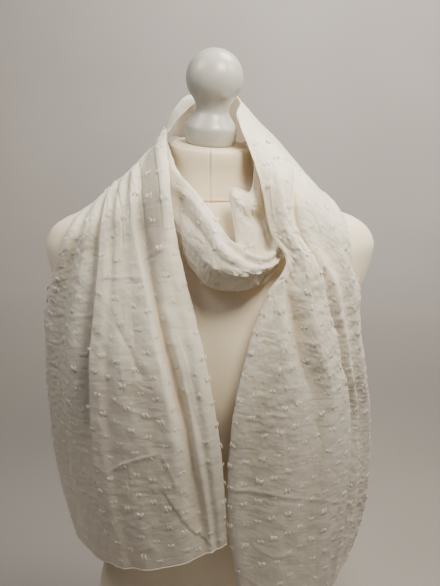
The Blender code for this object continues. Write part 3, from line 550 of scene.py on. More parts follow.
def level_curve(at, knots, values):
    """Like smooth_curve, but it never overshoots the values."""
    at, knots, values = (np.asarray(item, float) for item in (at, knots, values))
    widths = np.diff(knots).reshape((-1,) + (1,) * (values.ndim - 1))
    slopes = np.diff(values, axis=0) / widths
    same_way = slopes[:-1] * slopes[1:] > 0
    sums = np.where(same_way, slopes[:-1] + slopes[1:], 1.0)
    tangents = np.zeros_like(values)
    tangents[1:-1] = np.where(same_way, 2 * slopes[:-1] * slopes[1:] / sums, 0.0)
    return hermite(np.clip(at, knots[0], knots[-1]), knots, values, tangents)


def blend(start, end, values):
    """Smooth step from 0 at start to 1 at end."""
    t = np.clip((values - start) / (end - start), 0, 1)
    return t * t * (3 - 2 * t)


def unit(vectors):
    """The vectors, made one long."""
    return vectors / np.linalg.norm(vectors, axis=-1, keepdims=True)


def passed_length(steps):
    """How far along a line each of its points is, from the lengths of the steps between them."""
    return np.concatenate([[0], np.cumsum(steps)])


def wave_field(along, across, spacing, seed, count=28):
    """Sum of waves with random directions and phases, about -1 to 1. Their spacing is the usual
    distance between crests along and across the cloth."""
    chance = np.random.default_rng(seed)
    turns = chance.normal(0, 1, (count, 2))
    turns *= (0.6 + 0.4 / np.linalg.norm(turns, axis=1))[:, None]
    phases = chance.uniform(0, 2 * math.pi, count)
    total = np.zeros(np.shape(across))
    for (turn_along, turn_across), phase in zip(turns, phases):
        total += np.cos(2 * math.pi * (along * turn_along / spacing[0]
                                       + across * turn_across / spacing[1]) + phase)
    return total / math.sqrt(count)


def waves(field, along, across, seed):
    """Heights of a field of waves."""
    return field.height * wave_field(along, across, field.spacing, seed)


def net_lines(net, along, across, seed):
    """Heights of a net of thin lines: a narrow bell over each place where its waves are zero."""
    return net.height * np.exp(-(wave_field(along, across, net.spacing, seed) / net.softness) ** 2)


# ---------------------------------------------------------------- the form's shape


def form_reach(x, height):
    """Half width, front reach and back reach of the form, bust included, at a height."""
    half_width, front, back = np.moveaxis(level_curve(
        height, [row.height for row in FORM_SECTIONS], [row[1:] for row in FORM_SECTIONS]), -1, 0)
    bust = BUST_DEPTH * np.exp(-((np.abs(x) - BUST_SPACING) / BUST_WIDTH) ** 2
                               - ((height - BUST_HEIGHT) / BUST_RISE) ** 2)
    return half_width, front + bust, back


def form_distance(points):
    """Level distance of points from the form, negative inside it."""
    x, y, z = points[..., 0], points[..., 1], points[..., 2]
    half_width, front, back = form_reach(x, z)
    depth = np.where(y < 0, front, back)
    ratio = ((np.abs(x) / half_width) ** FORM_SQUARENESS
             + (np.abs(y) / depth) ** FORM_SQUARENESS) ** (1 / FORM_SQUARENESS)
    level = np.hypot(x, y) * (1 - 1 / ratio)
    return np.where(z < FORM_SECTIONS[-1].height, level, 1.0)


def push_clear(points, clearance):
    """Move points straight away from the form until they are the clearance from it."""
    probe = 0.0005
    for _ in range(3):
        here = form_distance(points)
        slope = np.stack([(form_distance(points + step) - form_distance(points - step)) / (2 * probe)
                          for step in np.eye(3) * probe], axis=-1)
        steepness = np.maximum(np.linalg.norm(slope, axis=-1), probe)
        shortfall = np.maximum(0, clearance - here / steepness)
        near = (here < 3 * FORM_CLEARANCE * steepness) & (points[..., 2] < LEAN_STARTS)
        points = points + slope * (np.where(near, shortfall, 0) / steepness)[..., None]
    return points


def lean(points):
    """Tip the top of the neck to the front and to +X."""
    share = blend(LEAN_STARTS, FORM_SECTIONS[-2].height, points[..., 2])
    points[..., 2] += share * (math.tan(LEAN_FORWARD) * points[..., 1]
                               - math.tan(LEAN_RIGHT) * points[..., 0])
    return points


# ---------------------------------------------------------------- the scarf's shape


def guide_points(section):
    """Four points across a section, also for a section that states three."""
    points = np.array(section) * MM
    return points if len(points) == 4 else smooth_curve(np.linspace(0, 1, 4), [0, 0.5, 1], points)


SCARF_SECTIONS = [*reversed(TAIL_LEFT_SECTIONS), *NAPE_LOWER_SECTIONS[1:], *LOOP_SECTIONS[1:],
                  *NAPE_UPPER_SECTIONS[1:], *TAIL_RIGHT_SECTIONS[1:]]
SCARF_GUIDES = np.array([guide_points(section) for section in SCARF_SECTIONS])
SCARF_RUN = passed_length(np.linalg.norm(np.diff(SCARF_GUIDES.mean(axis=1), axis=0), axis=1))


def cloth_base(sections, along, across):
    """Points of a stretch without its folds: a smooth curve through every section of the scarf
    gives four guides for each place along, and a smooth curve through those runs across."""
    start, end = (SCARF_RUN[SCARF_SECTIONS.index(section)] for section in (sections[0], sections[-1]))
    guides = smooth_curve(start + (end - start) * along, SCARF_RUN, SCARF_GUIDES)
    shares = smooth_curve(across, np.linspace(0, 1, 4), np.eye(4))
    return np.einsum("rck,rkd->rcd", shares, guides)


def outward(sections, along, places):
    """Unit normals of a stretch's base, away from the form."""
    probe = 0.004
    along_step = cloth_base(sections, along + probe, places) - cloth_base(sections, along - probe, places)
    across_step = cloth_base(sections, along, places + probe) - cloth_base(sections, along, places - probe)
    normal = unit(np.cross(across_step, along_step))
    points = cloth_base(sections, along, places)
    faces_out = np.sum(normal[..., :2] * points[..., :2]) > 0
    return normal if faces_out else -normal


def folded_profile(folds, levels, along, cloth):
    """Places across and heights of the fold lines, for each row along the stretch."""
    lines = [fold.cloth for fold in folds]
    places = level_curve(along, levels, np.array([fold.places for fold in folds]).T)
    heights = level_curve(along, levels, np.array([fold.heights for fold in folds]).T) * MM
    return level_curve(cloth, lines, places.T).T, level_curve(cloth, lines, heights.T).T


# gathered_ends tells whether the stretch meets another at its start and its end. flat is the
# width and length of the cloth cut that shows.
Stretch = namedtuple("Stretch", "name sections folds levels grid gathered_ends flat")
STRETCHES = (
    Stretch("tail_left", TAIL_LEFT_SECTIONS, TAIL_LEFT_FOLDS, LEFT_LEVELS, TAIL_GRID, (True, False),
            (0.28, 0.56)),
    Stretch("nape_lower", NAPE_LOWER_SECTIONS, None, None, NAPE_GRID, (True, True), (0.10, 0.23)),
    Stretch("loop_front", LOOP_SECTIONS, LOOP_FOLDS, LOOP_LEVELS, LOOP_GRID, (True, True), (0.09, 0.44)),
    Stretch("nape_upper", NAPE_UPPER_SECTIONS, None, None, NAPE_GRID, (True, True), (0.10, 0.22)),
    Stretch("tail_right", TAIL_RIGHT_SECTIONS, TAIL_RIGHT_FOLDS, RIGHT_LEVELS, TAIL_GRID, (True, False),
            (0.245, 0.655)),
)

# A stretch's surface: its points, those under it and its normals, the distance along the cloth
# for each row and across it for each point, how hollow each point is, and its painted shade
Cloth = namedtuple("Cloth", "points under normals run width hollow sheer")
# Where the points are in the stretch: shares of its length and breadth, and those in metres
Layout = namedtuple("Layout", "along across length breadth")


def surface_normals(points):
    """Unit normals of a grid of points, from its steps along and across."""
    normal = np.cross(np.gradient(points, axis=1), np.gradient(points, axis=0))
    return normal / np.maximum(np.linalg.norm(normal, axis=-1, keepdims=True), 1e-12)


def end_fade(stretch, from_start, from_end, reach):
    """A column of shares, one a row: 0 where the stretch meets another one, and 1 past the reach."""
    share = np.ones(len(from_start))
    for gathered, distance in zip(stretch.gathered_ends, (from_start, from_end)):
        if gathered:
            share = share * blend(0, reach, distance)
    return share[:, None]


def folded_rows(stretch, along, cloth):
    """Places across and heights of a stretch's folds, gathered where it meets the next one."""
    even = np.broadcast_to(cloth, (len(along), len(cloth)))
    gathers = PLEAT_HEIGHT * np.sin(2 * math.pi * PLEAT_COUNT * even)
    if not stretch.folds:
        return even, gathers
    places, heights = folded_profile(stretch.folds, stretch.levels, along, cloth)
    share = end_fade(stretch, along, 1 - along, PLEAT_BLEND)
    return even + (places - even) * share, gathers + (heights - gathers) * share


def folded_points(stretch, along, cloth):
    """Points of a stretch with its folds, and their places across."""
    places, heights = folded_rows(stretch, along, cloth)
    raised = outward(stretch.sections, along, places) * heights[..., None]
    return push_clear(cloth_base(stretch.sections, along, places) + raised, FORM_CLEARANCE), places


def even_columns(stretch, count):
    """Places in the cloth whose columns are evenly spaced over the folds, on the whole."""
    rows, columns = TRIAL_GRID
    trial = np.linspace(0, 1, columns)
    points, _ = folded_points(stretch, np.linspace(0, 1, rows), trial)
    run = passed_length(np.linalg.norm(np.diff(points, axis=1), axis=-1).mean(axis=0))
    return np.interp(np.linspace(0, run[-1], count), run, trial)


def line_distance(along, across, line):
    """Distance from a line of (along, across) points in metres, the share of it passed, and
    which side of it a place is on: 1 or -1."""
    best = np.full(np.shape(across), np.inf)
    passed = np.zeros(np.shape(across))
    side = np.ones(np.shape(across))
    ends = np.array(line)
    lengths = np.linalg.norm(np.diff(ends, axis=0), axis=1)
    starts = passed_length(lengths)
    for start, end, length, before in zip(ends[:-1], ends[1:], lengths, starts):
        step = (end - start) / length
        off_along, off_across = along - start[0], across - start[1]
        t = np.clip(off_along * step[0] + off_across * step[1], 0, length)
        distance = np.hypot(off_along - t * step[0], off_across - t * step[1])
        nearer = distance < best
        best = np.where(nearer, distance, best)
        passed = np.where(nearer, (before + t) / starts[-1], passed)
        side = np.where(nearer, np.sign(off_across * step[0] - off_along * step[1]), side)
    return best, passed, side


def hand_creases(creases, layout):
    """Heights of the listed creases: a pointed bell across each line, lower at its two ends."""
    total = np.zeros(layout.across.shape)
    rows = np.broadcast_to(layout.along, total.shape) * layout.length
    for crease in creases:
        line = [(at * layout.length, place * layout.breadth) for at, place in crease.line]
        distance, passed, side = line_distance(rows, layout.across * layout.breadth, line)
        ends = blend(0, CREASE_TAPER, passed) * blend(0, CREASE_TAPER, 1 - passed)
        bell = np.exp(-(distance / (crease.width * MM)) ** CREASE_POINT)
        if crease.one_sided:
            bell = np.where(side > 0, bell, 0)
        total += crease.height * MM * bell * (CREASE_END + (1 - CREASE_END) * ends)
    return total


def patch_strength(patches, edge, layout):
    """How strongly the patches apply: the sum of a bell over each, whose border is crisper the
    larger the edge exponent is."""
    total = np.zeros(layout.across.shape)
    for patch in patches:
        off_along = (layout.along - patch.along) * layout.length / (patch.reach_along * MM)
        off_across = (layout.across - patch.across) * layout.breadth / (patch.reach_across * MM)
        total += patch.strength * np.exp(-(off_along ** 2 + off_across ** 2) ** edge)
    return total


def crinkle(run, width, rumpled, seed):
    """Heights of the chiffon's own crinkle: long swells, shallow dents, cross wrinkles, and soft
    creases and thin ridges that are strongest where the cloth is rumpled."""
    uneven = np.clip(NET_MIDDLE + waves(NET_STRENGTH, run, width, seed + 2), *NET_LIMITS)
    nets = net_lines(SOFT_CREASES, run, width, seed + 3) + net_lines(THIN_RIDGES, run, width, seed + 4)
    return (waves(SWELLS, run, width, seed) + waves(DENTS, run, width, seed + 5)
            + waves(CROSS_WRINKLES, run, width, seed + 1) * (CALM_CROSS + rumpled)
            + nets * uneven * (CALM_NETS + rumpled)
            + waves(FINE_WRINKLES, run, width, seed + 6) * (CALM_FINE + rumpled))


def edge_ripple(run, width, seed):
    """Small ripples along the two long edges, where the rolled hems draw the cloth in."""
    from_edge = np.minimum(width, width[:, -1:] - width)
    return waves(HEM_RIPPLE, run, width, seed) * np.exp(-from_edge / HEM_RIPPLE_REACH)


def lowest_nearby(heights):
    """The lowest height among each grid point and its eight neighbours."""
    rows, columns = heights.shape
    padded = np.pad(heights, 1, mode="edge")
    return np.min([padded[row:row + rows, column:column + columns]
                   for row in range(3) for column in range(3)], axis=0)


def hollowness(heights, width):
    """How deep in a fold each point is, 0 to 1: its height under the mean of the cloth within
    HOLLOW_REACH of it across the stretch, as a share of HOLLOW_DEPTH."""
    steps = np.diff(width, axis=1, prepend=width[:, :1])
    running = np.cumsum(heights * steps, axis=1)
    mean = np.empty_like(heights)
    for row, (places, total) in enumerate(zip(width, running)):
        low, high = (np.clip(places + reach, 0, places[-1]) for reach in (-HOLLOW_REACH, HOLLOW_REACH))
        sums = np.interp(high, places, total) - np.interp(low, places, total)
        mean[row] = sums / np.maximum(high - low, steps[row] + 1e-9)
    return np.clip((mean - heights) / HOLLOW_DEPTH, 0, 1)


def make_cloth(stretch, seed):
    """The fine surface of a stretch: folds, listed creases and crinkle. The points under it
    are every second row and column of the same folds, SHELL_WALL below the deepest crease nearby."""
    rows, columns = stretch.grid
    along = np.linspace(0, 1, rows)
    cloth = even_columns(stretch, columns)
    smooth, across = folded_points(stretch, along, cloth)
    run = passed_length(np.linalg.norm(np.diff(smooth, axis=0), axis=-1).mean(axis=1))
    steps = np.linalg.norm(np.diff(smooth, axis=1), axis=-1)
    width = np.concatenate([np.zeros((rows, 1)), np.cumsum(steps, axis=1)], axis=1)
    breadth = np.linalg.norm(smooth[:, -1] - smooth[:, 0], axis=-1).mean()
    layout = Layout(along[:, None], across, run[-1], breadth)
    rumpled = patch_strength(RUMPLES[stretch.name], RUMPLE_EDGE, layout)
    run_grid = np.broadcast_to(run[:, None], width.shape)
    heights = crinkle(run_grid, width, rumpled, seed) + edge_ripple(run_grid, width, seed + 7)
    heights += hand_creases(CREASES[stretch.name], layout)
    heights *= end_fade(stretch, run, run[-1] - run, END_FADE)
    normals = surface_normals(smooth)
    if np.sum(normals * outward(stretch.sections, along, across)) < 0:
        normals = -normals
    points = push_clear(smooth + normals * heights[..., None], FORM_CLEARANCE)
    depth = (lowest_nearby(heights) - SHELL_WALL)[::2, ::2, None]
    under = push_clear(smooth[::2, ::2] + normals[::2, ::2] * depth, UNDER_CLEARANCE)
    # how deep in the folds each point is, which sets the painted warm shade in the hollows
    hollow = hollowness(folded_rows(stretch, along, cloth)[1] + heights, width)
    # painted shade over its patches, which greys the cloth's colour
    sheer = patch_strength(PAINTED_SHADE_PATCHES.get(stretch.name, ()), PAINTED_SHADE_EDGE, layout)
    return Cloth(points, under, normals, run, width, hollow, np.clip(sheer, 0, 1))


# ---------------------------------------------------------------- meshes


def grid_faces(rows, columns, closed=False):
    """Quads of a grid of points; a closed grid's last column meets its first."""
    index = np.arange(rows * columns).reshape(rows, columns)
    following = np.roll(index, -1, axis=1)
    if not closed:
        index, following = index[:, :-1], following[:, :-1]
    return np.stack([index[:-1], following[:-1], following[1:], index[1:]], axis=-1).reshape(-1, 4)


def make_mesh(name, points, faces, uv=None):
    """A smooth-shaded mesh from arrays of points and faces, with a map in metres if given. The
    five-sided faces of a rim stay flat, so that their edges are crisp."""
    mesh = bpy.data.meshes.new(name)
    mesh.from_pydata(points.reshape(-1, 3), [], faces)
    corners = np.empty(len(mesh.polygons), np.int32)
    mesh.polygons.foreach_get("loop_total", corners)
    mesh.polygons.foreach_set("use_smooth", corners != 5)
    if uv is not None:
        corners = np.empty(len(mesh.loops), np.int32)
        mesh.loops.foreach_get("vertex_index", corners)
        layer = mesh.uv_layers.new(name="cloth_map")
        layer.uv.foreach_set("vector", uv.reshape(-1, 2)[corners].astype(np.float32).ravel())
    mesh.update()
    return mesh


def add_piece(mesh, material, node=None):
    """Put a piece in the scene, riding on the one body, with its finish and the node it stands for."""
    piece = bpy.data.objects.new(mesh.name, mesh)
    bpy.context.scene.collection.objects.link(piece)
    mesh.materials.append(material)
    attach(piece, "root")
    if node:
        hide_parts(node)
    return piece


def tube_faces(rows, columns):
    """Faces of a tube of rings, closed over its first ring and its last."""
    last = (rows - 1) * columns
    ends = [list(range(columns))[::-1], list(range(last, last + columns))]
    return grid_faces(rows, columns, closed=True).tolist() + ends


def turned(radius, height, facets):
    """A profile carried round the z axis: a ring of points for each radius and height."""
    angle = np.linspace(0, 2 * math.pi, facets, endpoint=False)
    return np.stack([radius[:, None] * np.cos(angle), radius[:, None] * np.sin(angle),
                     np.broadcast_to(height[:, None], (len(radius), facets))], axis=-1)


# ---------------------------------------------------------------- pieces of the scarf


def rim_faces(edge, below):
    """Five-sided faces from an edge's points to those under it, two steps of the edge to one."""
    return np.stack([edge[:-2:2], edge[1:-1:2], edge[2::2], below[1:], below[:-1]], axis=-1).tolist()


def shell_faces(rows, columns):
    """Faces of a closed shell: a grid, one under it of every second row and column whose points
    come after the first one's, and a rim between the two."""
    upper = np.arange(rows * columns).reshape(rows, columns)
    lower = rows * columns + np.arange((rows + 1) // 2 * ((columns + 1) // 2)).reshape((rows + 1) // 2, -1)
    faces = grid_faces(rows, columns).tolist()
    faces += (rows * columns + grid_faces(*lower.shape)[:, ::-1]).tolist()
    faces += rim_faces(upper[-1], lower[-1]) + rim_faces(upper[:, 0], lower[:, 0])
    faces += rim_faces(upper[0, ::-1], lower[0, ::-1]) + rim_faces(upper[::-1, -1], lower[::-1, -1])
    return faces


def cloth_map(cloth):
    """Where each point is on the flat cloth, in metres: across it, then along it."""
    return np.stack([cloth.width, np.broadcast_to(cloth.run[:, None], cloth.width.shape)], axis=-1)


def add_shell(stretch, cloth, material):
    """The cloth of a stretch as a thin closed shell, whose outer side is the finer one."""
    flat = cloth_map(cloth)
    points = np.concatenate([cloth.points.reshape(-1, 3), cloth.under.reshape(-1, 3)])
    uv = np.concatenate([flat.reshape(-1, 2), flat[::2, ::2].reshape(-1, 2)])
    faces = shell_faces(*cloth.width.shape)
    if np.sum(surface_normals(cloth.points) * cloth.normals) < 0:
        faces = [face[::-1] for face in faces]
    mesh = make_mesh(f"cloth_{stretch.name}", points, faces, uv)
    for name, grid in (("hollow", cloth.hollow), ("sheer", cloth.sheer)):
        values = np.concatenate([grid.ravel(), grid[::2, ::2].ravel()])
        mesh.attributes.new(name, "FLOAT", "POINT").data.foreach_set("value", values.astype(np.float32))
    return add_piece(mesh, material, stretch.name)


def hem_tube(points, normals, seed):
    """Points and faces of a rolled hem: rings round a line of points, turned from the cloth's
    normal to its side, and a little uneven."""
    aside = unit(np.cross(np.gradient(points, axis=0), normals))
    run = passed_length(np.linalg.norm(np.diff(points, axis=0), axis=1))
    radius = HEM_RADIUS * (1 + waves(HEM_UNEVENNESS, run, np.zeros(len(run)), seed))
    turn = np.linspace(0, 2 * math.pi, HEM_SIDES, endpoint=False)[:, None]
    ring = np.cos(turn) * normals[:, None] + np.sin(turn) * aside[:, None]
    rings = points[:, None] + ring * radius[:, None, None]
    return rings.reshape(-1, 3), tube_faces(len(points), HEM_SIDES)


def add_hems(stretch, cloth, material, seed):
    """The rolled hems of a stretch: along both long edges and, on a tail, round its end."""
    grid = np.arange(cloth.width.size).reshape(cloth.width.shape)
    if stretch.gathered_ends[1]:
        edges = [grid[1:-1:2, 0], grid[1:-1:2, -1]]
    else:
        edges = [np.concatenate([grid[1:-1:2, 0], grid[-1, ::2], grid[-2:0:-2, -1]])]
    middle = (cloth.points - cloth.normals * SHELL_WALL / 2).reshape(-1, 3)
    normals = cloth.normals.reshape(-1, 3)
    flat = cloth_map(cloth).reshape(-1, 2)
    points, faces, uv = [], [], []
    for number, edge in enumerate(edges):
        tube, around = hem_tube(middle[edge], normals[edge], seed + number)
        before = sum(map(len, points))
        faces += [[corner + before for corner in face] for face in around]
        points.append(tube)
        uv.append(np.repeat(flat[edge], HEM_SIDES, axis=0))
    mesh = make_mesh(f"hems_{stretch.name}", np.concatenate(points), faces, np.concatenate(uv))
    return add_piece(mesh, material)


def lattice_places(length, breadth, seed):
    """Places of the spots: a slanting lattice over the stretch, each a little off its point."""
    step_along, step_across = SPOT_STEP
    columns = np.arange(1, int(breadth / step_across) + 1)
    rows = np.arange(-len(columns) - 1, int(length / SPOT_ROW) + len(columns) + 1)
    row, column = (item.ravel() for item in np.meshgrid(rows, columns, indexing="ij"))
    chance = np.random.default_rng(seed)
    along = row * SPOT_ROW + column * step_along % SPOT_ROW + chance.normal(0, SPOT_SHIFT, row.shape)
    across = column * step_across + chance.normal(0, SPOT_SHIFT, row.shape)
    inside = (along > SPOT_EDGE) & (along < length - SPOT_EDGE)
    return along[inside], across[inside]


def pick(grid, row, column):
    """Values of a grid at places between its rows and columns."""
    r = np.clip(np.floor(row).astype(int), 0, grid.shape[0] - 2)
    c = np.clip(np.floor(column).astype(int), 0, grid.shape[1] - 2)
    s, t = (row - r)[:, None], (column - c)[:, None]
    return ((grid[r, c] * (1 - t) + grid[r, c + 1] * t) * (1 - s)
            + (grid[r + 1, c] * (1 - t) + grid[r + 1, c + 1] * t) * s)


def yarn_end():
    """Points and faces of one end of yarn of unit size: rings of a low lens, closed below."""
    turn = np.linspace(0, 2 * math.pi, END_SIDES, endpoint=False)
    rings = [np.stack([np.cos(turn) * reach, np.sin(turn) * reach, np.full(END_SIDES, height)], axis=-1)
             for reach, height in END_RINGS]
    points = np.concatenate([[(0, 0, END_FOOT)], *rings, [(0, 0, 1)]])
    foot, crown = 0, len(points) - 1
    faces = []
    for side in range(END_SIDES):
        low, low_next = 1 + side, 1 + (side + 1) % END_SIDES
        high, high_next = low + END_SIDES, low_next + END_SIDES
        faces += [(foot, low_next, low), (low, low_next, high_next, high), (high, high_next, crown)]
    return points, faces


def spot_frames(cloth, seed):
    """The middle of each spot, and unit vectors along the cloth, across it and out of it there."""
    along, across = lattice_places(cloth.run[-1], cloth.width[:, -1].max(), seed)
    row = np.interp(along, cloth.run, np.arange(len(cloth.run)))
    widths = cloth.width[np.round(row).astype(int)]
    inside = (across > SPOT_EDGE) & (across < widths[:, -1] - SPOT_EDGE)
    row, across, widths = row[inside], across[inside], widths[inside]
    column = (widths < across[:, None]).sum(axis=1) - 1.0
    normal = pick(surface_normals(cloth.points), row, column)
    if np.sum(normal * pick(cloth.normals, row, column)) < 0:
        normal = -normal
    normal = unit(normal)
    ahead = pick(np.gradient(cloth.points, axis=0), row, column)
    ahead = unit(ahead - normal * np.sum(ahead * normal, axis=1, keepdims=True))
    return pick(cloth.points, row, column), ahead, np.cross(normal, ahead), normal


def add_spots(stretch, cloth, material, seed):
    """The spots of a stretch as one mesh. Each is two clumps of short ends of yarn that lie side
    by side on the cloth, fanned out a little."""
    centre, ahead, side, normal = spot_frames(cloth, seed)
    count = len(centre)
    shape, shape_faces = yarn_end()
    half = np.array(END_SIZE) * (0.5, 0.5, 1.0)
    chance = np.random.default_rng(seed + 1)
    fullness = chance.uniform(*SPOT_FULLNESS, (count, 1))
    clump = CLUMP_WIDTH * np.linspace(-0.5, 0.5, CLUMP_ENDS)
    ends = []
    for place in [*(clump - CLUMP_GAP / 2), *(clump + CLUMP_GAP / 2)]:
        turn = chance.normal(0, END_TURN, count)
        first = ahead * np.cos(turn)[:, None] + side * np.sin(turn)[:, None]
        second = np.cross(normal, first)
        size = half * chance.uniform(*END_FULLNESS, (count, 3)) * fullness
        local = shape[None] * size[:, None] * (1 + chance.normal(0, END_ROUGHNESS, (count, len(shape), 1)))
        aside = place + chance.normal(0, END_SHIFT[1], (count, 1))
        foot = centre + side * aside + ahead * chance.normal(0, END_SHIFT[0], (count, 1))
        ends.append(foot[:, None] + local[..., :1] * first[:, None] + local[..., 1:2] * second[:, None]
                    + local[..., 2:] * normal[:, None])
    points = np.concatenate(ends).reshape(-1, 3)
    faces = [[corner + start for corner in face]
             for start in range(0, len(points), len(shape)) for face in shape_faces]
    mesh = make_mesh(f"spots_{stretch.name}", points, faces)
    return add_piece(mesh, material)


# ---------------------------------------------------------------- pieces of the dress form


def seam_relief(distance):
    """Height across a pressed seam: a furrow, and on one side of it a soft raised band."""
    band = blend(0, SEAM_WIDTH, distance) * blend(0, SEAM_WIDTH, SEAM_LIP - distance)
    return SEAM_PUFF * band - SEAM_DEPTH * np.exp(-(distance / SEAM_WIDTH) ** 2)


def form_angles():
    """Angles round the form from its front, anticlockwise from above: even ones, and closer ones
    beside the seams down the middle of the front and the back."""
    first, last, step = EVEN_COLUMNS
    beside = np.radians(SEAM_COLUMNS)
    half = np.concatenate([beside, np.radians(np.arange(first, last + step / 2, step)),
                           math.pi - beside[::-1]])
    return np.concatenate([half, half[1:-1] + math.pi])


def add_form_cover(material):
    """The jersey-covered form: a loft through its sections, with sewn seams on the neck. A ring
    of it is a rounded oval: each of x and y is its reach times a power of the angle's sine or
    cosine."""
    angles = form_angles()
    heights = np.concatenate([np.linspace(*rows) for rows in COVER_ROWS])
    height = np.broadcast_to(heights[:, None], (len(heights), len(angles)))
    side, fore = (np.sign(wave) * np.abs(wave) ** (2 / FORM_SQUARENESS)
                  for wave in (np.sin(angles), -np.cos(angles)))
    half_width, _, _ = form_reach(np.zeros_like(height), height)
    x = half_width * side
    _, front, back = form_reach(x, height)
    y = np.where(fore < 0, front, back) * fore
    on_neck = blend(NECK_SEAM_HEIGHT - SEAM_BEGINS, NECK_SEAM_HEIGHT + SEAM_BEGINS, height)
    relief = seam_relief(height - NECK_SEAM_HEIGHT) + seam_relief(x) * on_neck
    swell = 1 + relief / np.hypot(x, y)
    points = lean(np.stack([x * swell, y * swell, height.copy()], axis=-1))
    top = points[-1] * (TOP_INSET, TOP_INSET, 1.0)
    points = np.concatenate([points, top[None]])
    mesh = make_mesh("form_cover", points, tube_faces(*points.shape[:2]))
    return add_piece(mesh, material, "form_torso")


def cap_outline():
    """Radius and height from the hole in the crown down to the foot: an arc over the knob, a
    parabola in to the throat, a smooth step out to the flare and a rounded edge below it."""
    knob_rows, throat_rows, cove_rows = CAP_ROWS
    start = math.acos((CAP_HOLE_RADIUS + CAP_HOLE_LIP) / CAP_KNOB_RADIUS)
    top = CAP_KNOB_HEIGHT + CAP_KNOB_RADIUS * math.sin(start)
    hole = [(CAP_HOLE_RADIUS, top - CAP_HOLE_DEPTH), (CAP_HOLE_RADIUS, top - CAP_HOLE_LIP)]
    angle = np.linspace(start, -CAP_JOIN, knob_rows)
    knob = (0, CAP_KNOB_HEIGHT) + CAP_KNOB_RADIUS * np.stack([np.cos(angle), np.sin(angle)], axis=-1)
    throat_end = np.array([CAP_THROAT_RADIUS, CAP_THROAT_HEIGHT])
    share = np.linspace(1, 0, throat_rows)[1:, None]
    throat = throat_end + (knob[-1] - throat_end) * np.hstack([share ** 2, share])
    flare = np.array([CAP_FLARE_RADIUS, CAP_FLARE_HEIGHT])
    share = np.linspace(1, 0, cove_rows)[1:, None]
    cove = flare + (throat_end - flare) * np.hstack([blend(0, 1, share), share])
    foot = [(CAP_FLARE_RADIUS - 0.0001, CAP_FLARE_HEIGHT * 0.75), (CAP_FLARE_RADIUS - 0.0006, 0.006),
            (CAP_FOOT_RADIUS + 0.0014, 0.002), (CAP_FOOT_RADIUS + 0.0006, 0.0006),
            (CAP_FOOT_RADIUS, 0.0)]
    return np.concatenate([hole, knob, throat, cove, foot])


def lean_matrix():
    """A turn about x that tips a shape to the front, then one about y that tips it to +X."""
    cos_x, sin_x = math.cos(LEAN_FORWARD), math.sin(LEAN_FORWARD)
    cos_y, sin_y = math.cos(LEAN_RIGHT), math.sin(LEAN_RIGHT)
    forward = np.array([(1, 0, 0), (0, cos_x, -sin_x), (0, sin_x, cos_x)])
    right = np.array([(cos_y, 0, sin_y), (0, 1, 0), (-sin_y, 0, cos_y)])
    return right @ forward


def add_cap(material):
    """The turned cap with its knob, stood on the leaning top of the neck. Its outline runs down,
    so the faces of the rings are turned round."""
    points = turned(*cap_outline().T, CAP_FACETS) @ lean_matrix().T
    points += (0, 0, FORM_SECTIONS[-1].height + CAP_GAP)
    faces = [face[::-1] for face in tube_faces(*points.shape[:2])]
    mesh = make_mesh("form_cap", points, faces)
    return add_piece(mesh, material, "form_neck_cap")


# ---------------------------------------------------------------- finishes


def start_material(name):
    """A material with an empty node tree and its output."""
    material = bpy.data.materials.new(name)
    material.use_nodes = True
    material.node_tree.nodes.clear()
    return material, material.node_tree.nodes.new("ShaderNodeOutputMaterial")


def add_node(material, kind, values=None, **settings):
    """A shader node with its plain settings and socket values."""
    item = material.node_tree.nodes.new(kind)
    for key, value in settings.items():
        setattr(item, key, value)
    for key, value in (values or {}).items():
        item.inputs[key].default_value = value
    return item


def link(material, source, target):
    """Join a node's output to another node's input."""
    material.node_tree.links.new(source, target)


def bumped(material, height, distance, strength, below=None):
    """A bump node for a height texture, on top of the bump below it."""
    bump = add_node(material, "ShaderNodeBump", {"Strength": strength, "Distance": distance})
    link(material, height, bump.inputs["Height"])
    if below:
        link(material, below, bump.inputs["Normal"])
    return bump.outputs["Normal"]


def stretched_noise(material, coordinates, scale, detail, roughness=0.5, distortion=0.0):
    """Noise on coordinates that are scaled by three numbers."""
    mapping = add_node(material, "ShaderNodeMapping", {"Scale": scale})
    noise = add_node(material, "ShaderNodeTexNoise",
                     {"Scale": 1.0, "Detail": detail, "Roughness": roughness, "Distortion": distortion})
    link(material, coordinates, mapping.inputs["Vector"])
    link(material, mapping.outputs["Vector"], noise.inputs["Vector"])
    return noise.outputs["Fac"]


def bands(material, coordinates, direction, scale, distortion, detail_scale):
    """Wavy bands across one axis, such as threads or ribs."""
    wave = add_node(material, "ShaderNodeTexWave",
                    {"Scale": scale, "Distortion": distortion, "Detail": 1.0, "Detail Scale": detail_scale},
                    wave_type="BANDS", bands_direction=direction)
    link(material, coordinates, wave.inputs["Vector"])
    return wave.outputs["Fac"]


def combined(material, operation, *sources):
    """What a sum or other operation makes of its sources, each a node's output or a number."""
    item = add_node(material, "ShaderNodeMath", operation=operation)
    for socket, source in zip(item.inputs, sources):
        if isinstance(source, float):
            socket.default_value = source
        else:
            link(material, source, socket)
    return item.outputs[0]


def remapped(material, value, start, result):
    """A value that runs over the start range, brought to the result range and held in it."""
    item = add_node(material, "ShaderNodeMapRange", {"From Min": start[0], "From Max": start[1],
                                                     "To Min": result[0], "To Max": result[1]})
    link(material, value, item.inputs["Value"])
    return item.outputs["Result"]


def tinted(material, colour, share, tint):
    """A colour with a share of a tint mixed into it."""
    item = add_node(material, "ShaderNodeMixRGB", {"Color2": (*tint, 1.0)})
    link(material, share, item.inputs["Fac"])
    link(material, colour, item.inputs["Color1"])
    return item.outputs["Color"]


def point_value(material, name):
    """The values that a mesh holds for its points under the name."""
    return add_node(material, "ShaderNodeAttribute", attribute_name=name).outputs["Fac"]


